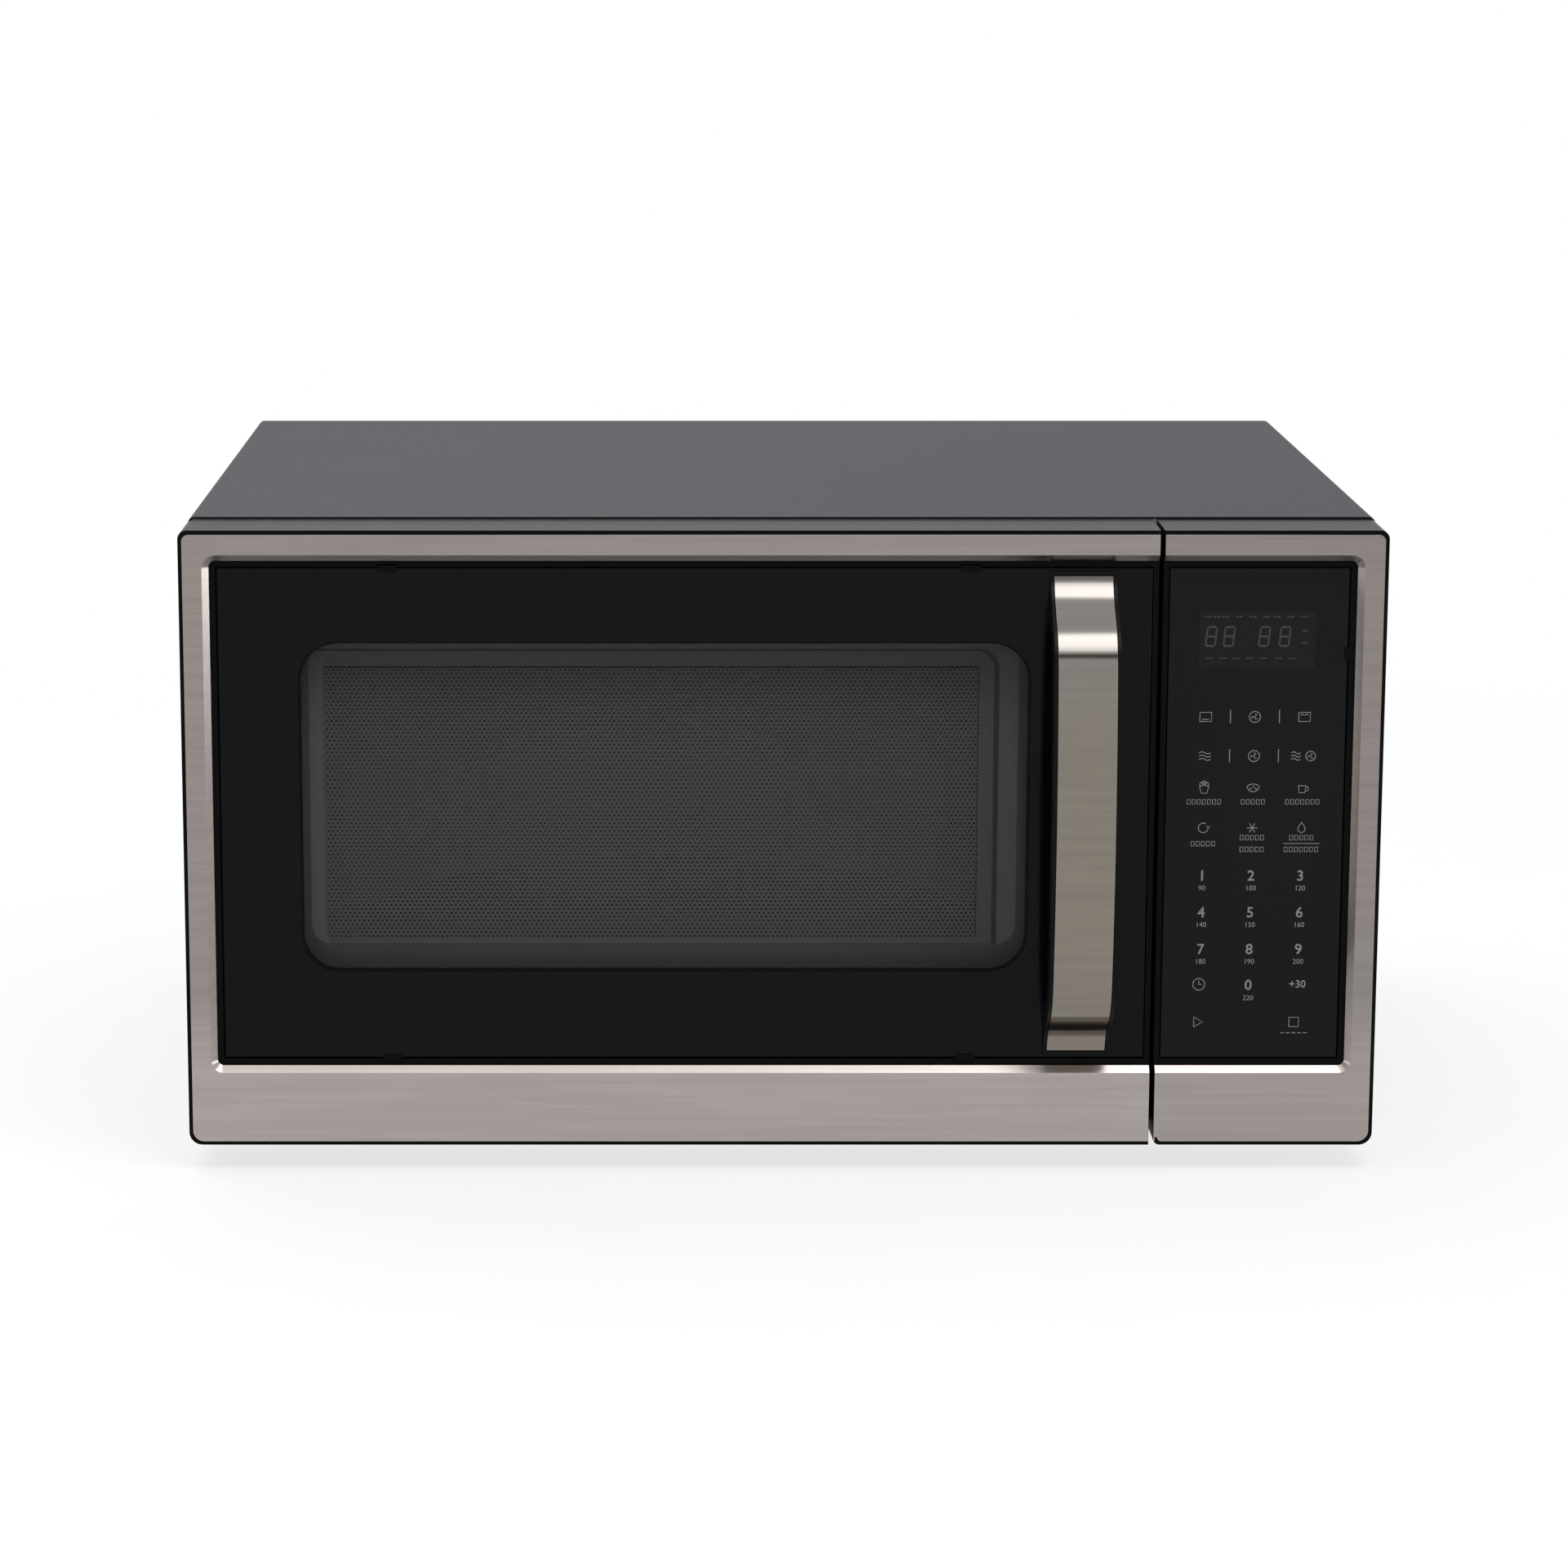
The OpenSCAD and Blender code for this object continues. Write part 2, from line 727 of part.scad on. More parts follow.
module transformer_coils() {
    h = (core_h - 2 * leg - 4) / 2;
    color("#b5653a") at_transformer() for (z = [leg + 2 + fit, core_h - leg + 2 - fit - h])
        translate([0, 0, z]) linear_extrude(h) difference() {
            rounded(-leg - 15.6, leg + 15.6, -core_d / 2 - 14, core_d / 2 + 14, 10);
            translate([-leg - fit, -core_d / 2 - fit]) square([2 * (leg + fit), core_d + 2 * fit]);
        }
}

module can_outline(grow) {
    square([20, 2 * (can_r + grow)], center = true);
    for (x = [-10, 10]) translate([x, 0]) circle(can_r + grow);
}

module at_capacitor() {
    translate([bay_mid + 24, guide_y + 42, case_bottom + sheet + can_r + 1.5])
        rotate([90, 0, 0]) children();
}

module hv_capacitor() {
    color("#aeb0b2") at_capacitor() {
        linear_extrude(80) can_outline(0);
        for (x = [-9, 9]) translate([x - 3, -0.4, 80]) cube([6, 0.8, 9]);
    }
}

module capacitor_clamp() {
    half = 10 + can_r;
    color("silver") at_capacitor() translate([0, 0, 34]) {
        linear_extrude(14) difference() {
            can_outline(1.3);
            can_outline(0.2);
        }
        for (s = [0, 1]) mirror([s, 0, 0]) translate([8, -can_r - 1.4, 0]) cube([half, 1.2, 14]);
    }
}

module filter_board() {
    color("#3c6b46") translate([bay_left, seam_y + 64, cavity_top - 62]) {
        translate([6, 0, 0]) cube([1.6, 62, 54]);
        for (y = [6, 56], z = [6, 48]) translate([0, y, z]) rotate([0, 90, 0])
            cylinder(r = 2.5, h = 6);
        translate([7.6, 20, 30]) rotate([0, 90, 0]) cylinder(r = 13, h = 14);
        translate([7.6, 38, 8]) cube([9, 18, 14]);
        translate([7.6, 8, 8]) cube([7, 24, 7]);
    }
}

module thermal_cutouts() {
    color("#d8d4c8") for (p = [[cavity_mid, table_y], [cavity_mid + 90, table_y + 60]])
        translate([p[0], p[1], cavity_top + sheet]) {
            cylinder(r = 8, h = 9);
            translate([-13, -5, 0]) cube([26, 10, 1]);
        }
}

module fan_shroud() {
    low = case_bottom + sheet;
    bar = 15;
    color("#cfcfc8") difference() {
        union() {
            block([shroud_left, fan_y, low],
                [case_inner - 2 * sheet, fan_y + 1.6, fan_z + 76]);
            translate([bay_mid, fan_y - 16, fan_z]) rod_y(cool_fan_r + 4, 17);
            // bridge behind the fan that carries its motor
            for (s = [-1, 1]) translate([bay_mid + s * (cool_fan_r + 7) - 2, fan_y, fan_z - 7])
                cube([4, bar + 2, 14]);
            translate([bay_mid - cool_fan_r - 9, fan_y + bar, fan_z - 7])
                cube([2 * cool_fan_r + 18, 2, 14]);
        }
        translate([bay_mid, fan_y - 20, fan_z]) rod_y(cool_fan_r + 2, 22);
        translate([bay_mid, fan_y, fan_z]) rod_y(shaft_r + 2, 40);
    }
}

module cooling_fan() {
    color("#3a3a3c") translate([bay_mid, fan_y, fan_z]) {
        translate([0, -12, 0]) rod_y(14, 18);
        rod_y(shaft_r, 34);
        intersection() {
            for (i = [0:cool_fan_blades - 1]) rotate([0, i * 360 / cool_fan_blades, 0])
                translate([12, -3, 0]) rotate([35, 0, 0])
                    translate([0, -0.8, -17]) cube([cool_fan_r, 1.6, 34]);
            translate([0, -14, 0]) rod_y(cool_fan_r, 25);
        }
    }
}

module cooling_fan_motor() {
    color("#55565a") translate([bay_mid, fan_y + 17, fan_z]) difference() {
        union() {
            translate([-28, 0, -20]) cube([56, 16, 40]);
            translate([-15, 0, -32]) cube([30, 18, 14]);
            translate([0, 16, 0]) rod_y(9, 5);
        }
        translate([0, -cut, 0]) rod_y(shaft_r + running, 20);
    }
}

module lamp_socket() {
    color("#e4dfd2") translate([bay_left, lamp_y, lamp_z]) difference() {
        translate([0, -14, -14]) cube([40, 28, 28]);
        translate([-cut, -12, -12]) cube([30, 24, 24]);
    }
}

module lamp_bulb() {
    color("#f5eecb") translate([bay_left + 29, lamp_y, lamp_z]) rotate([0, -90, 0]) {
        cylinder(r = 6, h = 9);
        translate([0, 0, 9]) cylinder(r = 8, h = 8);
        translate([0, 0, 17]) sphere(r = 8);
    }
}

// ---------- convection unit behind the cavity ----------

module at_hot_fan() {
    translate([cavity_mid, hot_fan_y, hot_z]) rotate([-90, 0, 0]) children();
}

module housing_outline(grow) {
    rounded(-hot_box_w / 2 - grow, hot_box_w / 2 + grow, -hot_box_h / 2 - grow,
        hot_box_h / 2 + grow, 16 + grow);
}

module heater_tails(r) {
    for (x = [-9, 9]) translate([x, heater_ring_r, hot_box_d / 2]) cylinder(r = r, h = 26);
}

module convection_housing() {
    color("#a9a9ab") at_hot_fan() difference() {
        union() {
            linear_extrude(hot_box_d) housing_outline(0);
            linear_extrude(sheet) housing_outline(8);
        }
        translate([0, 0, -cut]) linear_extrude(hot_box_d - sheet + cut) housing_outline(-sheet);
        cylinder(r = shaft_r + 4, h = 2 * hot_box_d);
        heater_tails(heater_tube_r + fit);
    }
}

module convection_heater() {
    color("#5d5a58") at_hot_fan() {
        translate([0, 0, hot_box_d / 2]) rotate_extrude()
            translate([heater_ring_r, 0]) circle(heater_tube_r, $fn = 24);
        difference() {
            heater_tails(heater_tube_r);
            translate([0, 0, hot_box_d + 5]) cylinder(r = heater_ring_r * 2, h = 30);
        }
    }
}

module convection_fan() {
    color("#b4b4b6") at_hot_fan() {
        translate([0, 0, 20]) cylinder(r = hot_fan_r, h = 1);
        translate([0, 0, 9]) cylinder(r = 9, h = 17);
        for (i = [0:hot_fan_blades - 1]) rotate(i * 360 / hot_fan_blades)
            translate([22, 0, 4]) rotate(-24) cube([hot_fan_r - 25, 1, 16.5]);
        translate([0, 0, 20]) cylinder(r = shaft_r, h = hot_box_d - 20 + 14);
    }
}

module convection_motor() {
    color("#6a6b6e") at_hot_fan() translate([0, 0, hot_box_d]) difference() {
        union() {
            cylinder(r = 30, h = 17);
            translate([-44, -9, 0]) cube([88, 18, 1.5]);
            cylinder(r = 8, h = 20);
        }
        translate([0, 0, -cut]) cylinder(r = shaft_r + running, h = 17);
    }
}

// ---------- turntable ----------

module turntable_motor() {
    top = cavity_bottom - sheet;
    color("#9fa0a3") translate([cavity_mid, table_y, top - 14]) difference() {
        union() {
            cylinder(r = 25, h = 14);
            translate([-32, -6, 13]) cube([64, 12, 1]);
            translate([-9, -34, 2]) cube([18, 14, 10]);
        }
        translate([0, 0, 2]) cylinder(r = spindle_r + running, h = 20);
    }
}

module turntable_coupler() {
    top = plate_z - fit;
    color("#e6e2d6") translate([cavity_mid, table_y, 0]) {
        translate([0, 0, cavity_bottom - sheet - 10]) cylinder(r = spindle_r, h = 12);
        translate([0, 0, cavity_bottom + 0.5]) cylinder(r = 8, h = top - cavity_bottom - 0.5);
        for (i = [0:2]) rotate(30 + i * 120) translate([4, -3.5, top - 6])
            cube([coupler_arm_l - 4, 7, 6]);
    }
}

module glass_turntable() {
    color([0.7, 0.8, 0.8, 0.5]) translate([cavity_mid, table_y, plate_z]) {
        rotate_extrude($fn = 96) polygon([[0, 0], [plate_r - 14, 0], [plate_r, plate_rim],
            [plate_r - 1, plate_rim + 2], [plate_r - 3, plate_rim + 2.5], [plate_r - 16, plate_t],
            [0, plate_t]]);
        for (i = [0:2]) rotate(90 + i * 120) translate([14, 0, -5.5]) cylinder(r = 3.6, h = 6);
    }
}

module roller_ring() {
    inner = roller_track - roller_w / 2 - 8;
    color("#d9d6cc") translate([cavity_mid, table_y, roller_z]) {
        rotate_extrude() translate([inner, -2.5]) square([7, 5]);
        rotate_extrude() translate([coupler_arm_l + 3, -2.5]) square([4, 5]);
        for (i = [0:2]) rotate(90 + i * 120) {
            translate([coupler_arm_l + 5, -3, -2]) cube([inner - coupler_arm_l - 3, 6, 4]);
            translate([inner + 5, 0, 0]) rotate([0, 90, 0])
                cylinder(r = roller_pin_r, h = roller_w + 5.2);
            translate([roller_track + roller_w / 2 + 0.4, 0, 0]) rotate([0, 90, 0])
                cylinder(r = 2.6, h = 1.4);
        }
    }
}

module roller(i) {
    color("#c8c5bb") translate([cavity_mid, table_y, roller_z]) rotate(90 + (i - 1) * 120)
        translate([roller_track - roller_w / 2, 0, 0]) rotate([0, 90, 0]) difference() {
            rotate_extrude() polygon([[roller_pin_r + running, 0], [roller_r - 1, 0],
                [roller_r, 1], [roller_r, roller_w - 1], [roller_r - 1, roller_w],
                [roller_pin_r + running, roller_w]]);
            // four round pockets lighten the roller
            for (a = [0:3]) rotate(45 + a * 90) translate([4.6, 0, -cut])
                cylinder(r = 1.2, h = roller_w + 2 * cut, $fn = 16);
        }
}

module roller_1() { roller(1); }
module roller_2() { roller(2); }
module roller_3() { roller(3); }

// ---------- control panel ----------

module on_panel() {
    translate([front_w / 2, 0, 0]) mirror([1, 0, 0]) children();
}

module display_hole(grow) {
    translate([display_x - display_w / 2 - grow, front_top - display_drop - display_h / 2 - grow])
        square([display_w + 2 * grow, display_h + 2 * grow]);
}

module control_housing() {
    color("#161616") on_panel() difference() {
        union() {
            bezel_face(panel_w);
            on_front(sheet, front_t - fit) difference() {
                bezel_outline(panel_w);
                bezel_inside(panel_w);
            }
            // posts that hold the board
            board_corners() on_front(ledge_back, board_depth) circle(3);
        }
        lip_way(panel_w);
        eased_corner(panel_w, front_bottom, 3);
    }
}

// The panel's lower corner beside the door is eased
module eased_corner(x, z, r) {
    on_front(-cut, front_t) translate([x - r, z + r]) difference() {
        translate([0, -r - cut]) square([r + cut, r + cut]);
        circle(r);
    }
}

module board_corners() {
    x = [side_band + rim_w + 3, panel_w - open_rim - 3];
    for (i = [0, 1], z = [glass_bottom + 3, glass_top - 3]) translate([x[i], 0, z]) children();
}

module control_trim() {
    color("#a8a29c") on_panel() difference() {
        trim(panel_w);
        eased_corner(panel_w - trim_border, front_bottom + trim_border, 2);
    }
}

module touch_panel() {
    color("#1c1b1f") on_panel() on_front(recess, glass_back) difference() {
        glass_outline(panel_w, 0);
        display_hole(0);
    }
}

module display_lens() {
    color("#262525") on_panel() on_front(recess, glass_back) display_hole(-0.05);
}

module display_module() {
    color("#3a3a3c") on_panel() {
        on_front(glass_back + fit, board_depth - 3) display_hole(0);
        on_front(board_depth - 3, board_depth) display_hole(-4);
    }
}

module control_board() {
    face = board_depth + board_t;
    color("#2f6b3c") on_panel() {
        on_front(board_depth, face) glass_outline(panel_w, -1);
        // relays, supply transformer, buzzer and connector
        for (z = [40, 62, 84]) translate([40, 0, glass_bottom + z - 30])
            on_front(face, face + 15) square([19, 16]);
        translate([28, 0, glass_bottom + 110]) on_front(face, face + 17) square([36, 30]);
        translate([50, 0, glass_bottom + 165]) on_front(face, face + 8) circle(7);
        translate([30, 0, glass_bottom + 190]) on_front(face, face + 9) square([32, 7]);
    }
}

// ---------- latch and interlock ----------

// Hook outline, drawn in depth and height: a bar with a barb that points down at its tip
module hook_outline(from) {
    tip = front_t + hook_reach;
    polygon([[from, 0], [tip - 9, 0], [tip - 8, -4], [tip - 6, -4], [tip, 3], [tip, 6],
        [tip - 3, 9], [from, 9]]);
}

// Stands an outline, drawn in depth and height, across the width
module across(x, z, w) {
    translate([x - w / 2, front_y, z]) rotate([90, 0, 90]) linear_extrude(w) children();
}

module latch_plate() {
    low = latch_mid - hook_half - 10;
    high = latch_mid + hook_half + 16;
    back = latch_depth + latch_t;
    color("#e8e6df") {
        translate([latch_x, 0, 0]) on_front(latch_depth, back)
            translate([fit - latch_half, low]) square([2 * (latch_half - fit), high - low]);
        for (s = [-1, 1]) across(latch_x, latch_mid + s * hook_half, hook_w) hook_outline(back);
        // tab that the spring bears on
        translate([latch_x, 0, 0]) on_front(spring_depth - spring_r - 1, latch_depth)
            translate([fit - latch_half, tab_z - 4]) square([2 * (latch_half - fit), 4]);
    }
}

// Coil spring between the latch's tab and the stop above it
module latch_spring() {
    sides = 6;
    steps = 12 * spring_turns;
    rise = spring_l - 2 * spring_wire;
    ring = function(i) let (a = i * 30, z = spring_wire + rise * i / steps)
        [for (k = [0:sides - 1]) let (b = k * 360 / sides, r = spring_r - spring_wire / 2
            + spring_wire / 2 * cos(b)) [r * cos(a), r * sin(a), z + spring_wire / 2 * sin(b)]];
    points = [for (i = [0:steps]) each ring(i)];
    faces = concat([[for (k = [sides - 1:-1:0]) k]],
        [for (i = [0:steps - 1], k = [0:sides - 1]) let (n = (k + 1) % sides)
            [i * sides + k, i * sides + n, (i + 1) * sides + n, (i + 1) * sides + k]],
        [[for (k = [0:sides - 1]) steps * sides + k]]);
    color("silver") translate([latch_x, front_y + spring_depth, tab_z]) {
        polyhedron(points, faces);
        for (z = [0, spring_l - spring_wire]) translate([0, 0, z]) difference() {
            cylinder(r = spring_r, h = spring_wire);
            translate([0, 0, -cut]) cylinder(r = spring_r - spring_wire, h = 3 * cut);
        }
    }
}

module interlock_bracket() {
    x0 = latch_x - 10;
    x1 = latch_x + 13;
    low = latch_mid - hook_half - 22;
    high = latch_mid + hook_half + 30;
    near = seam_y + sheet;
    far = near + hook_reach + 9;
    color("#dedbd0") {
        block([x0, near, low], [x0 + 2, far, high]);
        block([x1 - 2, near, low], [x1, far, high]);
        block([x0 + 2, far - 2, low], [x1 - 2, far, high]);
        // shelf under each barb, below its path
        for (s = [-1, 1]) translate([0, 0, latch_mid + s * hook_half - 4 - fit])
            block([x0 + 2, near, -4], [x1 - 2, near + 6, 0]);
        block([x0 + 2, near, low], [x1 - 2, far - 2, low + 2]);
        block([x0 + 2, near, high - 2], [x1 - 2, far - 2, high]);
    }
}

module interlock_switches() {
    x = latch_x + 13;
    color("#303032") for (z = [-hook_half - 8, -hook_half + 22, hook_half - 8])
        translate([x, seam_y + sheet + 4, latch_mid + z]) {
            cube([10, 16, 28]);
            for (k = [6, 14, 22]) translate([10, 5, k]) cube([7, 5, 0.8]);
        }
}

// ---------- hinges ----------

module hinge_arm(z, up) {
    back = seam_y + sheet + arm_t;
    translate([0, 0, z]) {
        linear_extrude(arm_t) {
            translate([hinge_x, hinge_y]) circle(arm_half);
            translate([hinge_x - arm_half, hinge_y]) square([2 * arm_half, back - hinge_y]);
        }
        translate([hinge_x, hinge_y, up ? arm_t : -pin_h]) cylinder(r = hinge_pin_r, h = pin_h);
        block([hinge_x - arm_half, seam_y + sheet, up ? 0 : -36],
            [hinge_x + arm_half + 9, back, up ? arm_t + 36 : arm_t]);
    }
}

module hinge_brackets() {
    color("silver") {
        hinge_arm(lower_arm, true);
        hinge_arm(upper_arm, false);
    }
}

module at_bushes() {
    for (z = [lower_arm + arm_t + fit, upper_arm - fit - pin_h - 1])
        translate([hinge_x, hinge_y, z]) children();
}

module hinge_bushes() {
    color("#efeee8") at_bushes() difference() {
        cylinder(r = bush_r, h = pin_h + 1);
        translate([0, 0, -cut]) cylinder(r = hinge_pin_r + running, h = pin_h + 3);
    }
}

// ---------- door ----------

module on_door() {
    translate([door_left, 0, 0]) children();
}

// Plan of the door, with its hinge edge rounded about the hinge axis behind it
module door_plan(inset) {
    translate([hinge_x, front_y - cut]) square([door_w, front_t + 2 * cut]);
    translate([door_left + inset, front_y - cut]) square([hinge_inset, hinge_y - front_y + cut]);
    intersection() {
        translate([hinge_x, hinge_y]) circle(stile_r - inset, $fn = 96);
        translate([door_left + inset, hinge_y - cut]) square([2 * hinge_inset, stile_r + cut]);
    }
}

module door_prism(inset) {
    translate([0, 0, front_bottom - cut]) linear_extrude(front_h + 2 * cut) door_plan(inset);
}

module panel_posts() {
    for (x = [cavity_left - 8, cavity_mid, cavity_right + 8], z = [panel_low + 15, panel_high - 3.5])
        translate([x, 0, z]) children();
}

module door_frame() {
    arm_sweep = hinge_inset * tan(20) + arm_half / cos(20) + 1;
    color("#161616") difference() {
        union() {
            on_door() bezel_face(door_w);
            difference() {
                intersection() {
                    on_door() on_front(sheet, door_back) bezel_outline(door_w);
                    door_prism(0);
                }
                intersection() {
                    on_door() on_front(0, front_t) bezel_inside(door_w);
                    door_prism(wall);
                }
            }
            // strip behind the glass that takes the handle and the latch
            on_front(glass_back, ledge_back) translate([handle_x - strip_half, glass_bottom - 2])
                square([door_right - wall + cut - handle_x + strip_half,
                    glass_top - glass_bottom + 4]);
            // guide ribs of the latch, its rests and the stop of its spring
            for (x = [latch_x - latch_half - latch_rib, latch_x + latch_half])
                on_front(ledge_back, rib_back) translate([x, latch_mid - hook_half - 16])
                    square([latch_rib, 2 * hook_half + 32]);
            for (z = [tab_z - 8 - fit, tab_z + spring_l, latch_mid + hook_half - 30])
                on_front(ledge_back, latch_depth - fit) translate([latch_x - latch_half, z])
                    square([2 * latch_half, 4]);
            panel_posts() on_front(ledge_back, screen_depth) circle(3);
            for (z = [panel_low + 15, panel_high - 3.5])
                on_front(glass_back, ledge_back) translate([cavity_left - 12, z - 3])
                    square([cavity_w + 24, 6]);
            // hinge bosses
            for (z = [lower_arm + arm_t + fit, upper_arm - fit - pin_h - 2]) {
                translate([hinge_x, hinge_y, z]) cylinder(r = boss_r, h = pin_h + 2);
                block([door_left + 1, hinge_y - 5, z], [hinge_x, hinge_y + 5, z + pin_h + 2]);
            }
        }
        on_door() lip_way(door_w);
        at_bushes() translate([0, 0, -2]) cylinder(r = bush_r + running, h = pin_h + 5);
        for (z = [lower_arm, upper_arm]) block(
            [door_left - cut, hinge_y - arm_sweep, z - fit],
            [hinge_x + arm_half + 1, seam_y + cut, z + arm_t + fit]);
        handle_screw_places() translate([0, glass_back - cut, 0]) rod_y(screw_r + 0.3, 4 * cut);
        // notches for the clips that hold the glass
        on_front(lip_depth - cut, glass_back) for (x = clip_x, z = [glass_bottom, glass_top])
            translate([x - 4.5, z - 1.8]) square([9, 3.6]);
    }
}

module door_trim() {
    color("#a8a29c") on_door() trim(door_w);
}

module door_glass() {
    color([0.08, 0.08, 0.09, 0.9]) difference() {
        on_door() on_front(recess, glass_back) glass_outline(door_w, 0);
        handle_screw_places() rod_y(screw_r + 0.6, 2 * glass_back);
    }
}

// Outline of the cavity mouth, made larger or smaller
module mouth(grow) {
    translate([cavity_left - grow, cavity_bottom - grow])
        square([cavity_w + 2 * grow, cavity_h + 2 * grow]);
}

module window(grow) {
    x = cavity_mid - 3;
    z = front_top - top_band - 113;
    rounded(x - window_w / 2 - grow, x + window_w / 2 + grow, z - window_h / 2 - grow,
        z + window_h / 2 + grow, window_r + grow);
}

module choke_slots() {
    pitch = 16;
    cols = floor((cavity_w + 2 * seal_lap) / pitch / 2) - 1;
    rows = floor((cavity_h + 2 * seal_lap) / pitch / 2) - 1;
    z = (cavity_bottom + cavity_top) / 2;
    on_front(seal_face - 11, front_t) {
        for (i = [-cols:cols], s = [panel_low - cut, panel_high - 2 * cut])
            translate([cavity_mid + i * pitch - 1.5, s]) square([3, 3 * cut]);
        for (i = [-rows:rows], s = [cavity_left - seal_lap - cut, cavity_right + seal_lap - 2 * cut])
            translate([s, z + i * pitch - 1.5]) square([3 * cut, 3]);
    }
}

module door_panel() {
    far = screen_depth + sheet;
    color("#3c3c3e") difference() {
        union() {
            on_front(screen_depth, far) difference() {
                mouth(seal_lap);
                window(0);
            }
            on_front(far, seal_face) difference() {
                mouth(choke_in);
                mouth(choke_in - sheet);
            }
            on_front(seal_face - sheet, seal_face) difference() {
                mouth(choke_in);
                mouth(-4);
            }
            on_front(far, seal_face - 2 - fit) difference() {
                mouth(seal_lap);
                mouth(seal_lap - sheet);
            }
        }
        choke_slots();
    }
}

module door_screen() {
    color("#4a4a4c") on_front(screen_depth + sheet, screen_depth + sheet + 0.6) window(6);
}

module inner_glass() {
    color([0.8, 0.85, 0.85, 0.4]) on_front(seal_face - sheet - 3, seal_face - sheet)
        mouth(choke_in - sheet - fit);
}

module choke_cover() {
    color("#1c1c1c") on_front(door_back - 2, door_back) difference() {
        translate([hinge_x + 1, front_bottom + wall + fit])
            square([door_right - wall - fit - hinge_x - 1, front_h - 2 * (wall + fit)]);
        mouth(choke_in + fit);
        hook_slot(latch_x - hook_w / 2 - 1.5, latch_x + hook_w / 2 + 1.5);
        for (z = [lower_arm, upper_arm]) translate([hinge_x, z - fit])
            square([arm_half + 1, arm_t + 2 * fit]);
    }
}

// ---------- handle ----------

// Stands an outline, drawn along the glass and up from it, across the handle
module handle_form(w) {
    translate([handle_x - w / 2, front_y + recess, glass_mid]) rotate([180, -90, 0])
        linear_extrude(w) children();
}

module handle_screw_places() {
    for (s = [-1, 1]) translate([handle_x, front_y, glass_mid + s * handle_screw_z]) children();
}

module grip_outline(line, seat) {
    lip = handle_half + fit;
    outer = concat(line, seat, [[lip + 2, toe_h], [lip + 2, 0], [foot_in, 0]]);
    polygon(concat(both(outer), back_to_front(both(half_under()))));
}

module handle_grip() {
    lip = handle_half + fit;
    under = half_line(-strap_t);
    low = under[len(under) - 1][1];
    color("#141414") difference() {
        union() {
            handle_form(strap_w + fit) grip_outline(under, [[lip, low], [lip, toe_h]]);
            for (s = [-1, 1]) translate([s * (strap_w + fit + rail_w) / 2, 0, 0])
                handle_form(rail_w) grip_outline(half_line(0), []);
        }
        handle_screw_places() translate([0, recess - screw_grip - fit, 0])
            rod_y(screw_r + 0.05, screw_grip + fit + cut);
    }
}

module handle_strap() {
    color("#b9b2aa") handle_form(strap_w)
        polygon(concat(both(half_line(0)), back_to_front(both(half_line(-strap_t)))));
}

module handle_screws() {
    color("silver") handle_screw_places() {
        translate([0, recess - screw_grip, 0]) rod_y(screw_r, ledge_back - recess + screw_grip);
        translate([0, ledge_back, 0]) rod_y(4, 2.4);
    }
}

outer_cover();
base_plate();
back_plate();
front_plate();
cavity_wrap();
cavity_floor();
cavity_rear_wall();
fan_grille();
waveguide();
waveguide_cover();
magnetron_yoke();
magnetron_core();
magnetron_filter_box();
transformer_core();
transformer_coils();
hv_capacitor();
capacitor_clamp();
filter_board();
fan_shroud();
cooling_fan_motor();
cooling_fan();
lamp_socket();
lamp_bulb();
convection_housing();
convection_heater();
convection_fan();
convection_motor();
turntable_motor();
turntable_coupler();
glass_turntable();
roller_ring();
roller_1();
roller_2();
roller_3();
control_housing();
control_trim();
touch_panel();
display_lens();
display_module();
control_board();
interlock_bracket();
interlock_switches();
hinge_brackets();
hinge_bushes();
feet();
cord_gland();
case_screws();
thermal_cutouts();
door_frame();
door_trim();
door_glass();
door_panel();
door_screen();
choke_cover();
inner_glass();
handle_grip();
handle_strap();
handle_screws();
latch_plate();
latch_spring();
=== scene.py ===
# %% [markdown]
# # A microwave oven with a bow handle
# The oven comes from CAD as a frame of solids in metres, each at its real place. Here they get
# their finishes, and the pieces that show most get softened edges, printed marks and a real
# perforated screen. Every step first says what the piece is on the real oven.

# %% Load the frame
import json
import math

import bpy
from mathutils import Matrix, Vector


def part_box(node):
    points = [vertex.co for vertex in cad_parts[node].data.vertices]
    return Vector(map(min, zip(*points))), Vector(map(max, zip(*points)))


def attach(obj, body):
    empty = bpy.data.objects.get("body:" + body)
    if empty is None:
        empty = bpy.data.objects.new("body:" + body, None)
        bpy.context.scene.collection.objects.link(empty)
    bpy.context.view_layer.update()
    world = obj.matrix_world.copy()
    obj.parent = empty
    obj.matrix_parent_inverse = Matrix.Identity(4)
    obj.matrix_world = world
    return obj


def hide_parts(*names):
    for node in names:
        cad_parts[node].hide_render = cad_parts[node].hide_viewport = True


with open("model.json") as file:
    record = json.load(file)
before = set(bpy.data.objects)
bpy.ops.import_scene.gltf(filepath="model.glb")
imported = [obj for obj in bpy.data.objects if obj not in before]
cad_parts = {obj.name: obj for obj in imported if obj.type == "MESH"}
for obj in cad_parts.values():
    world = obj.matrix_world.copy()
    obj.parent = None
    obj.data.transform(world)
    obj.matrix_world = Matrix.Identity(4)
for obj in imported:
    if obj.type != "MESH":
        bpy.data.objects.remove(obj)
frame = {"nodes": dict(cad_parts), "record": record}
nodes = frame["nodes"]
bodies = frame["record"]["behaviour"]["bodies"]
body_of_node = {node: body for body, members in bodies.items() for node in members}
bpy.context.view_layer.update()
MM = 0.001

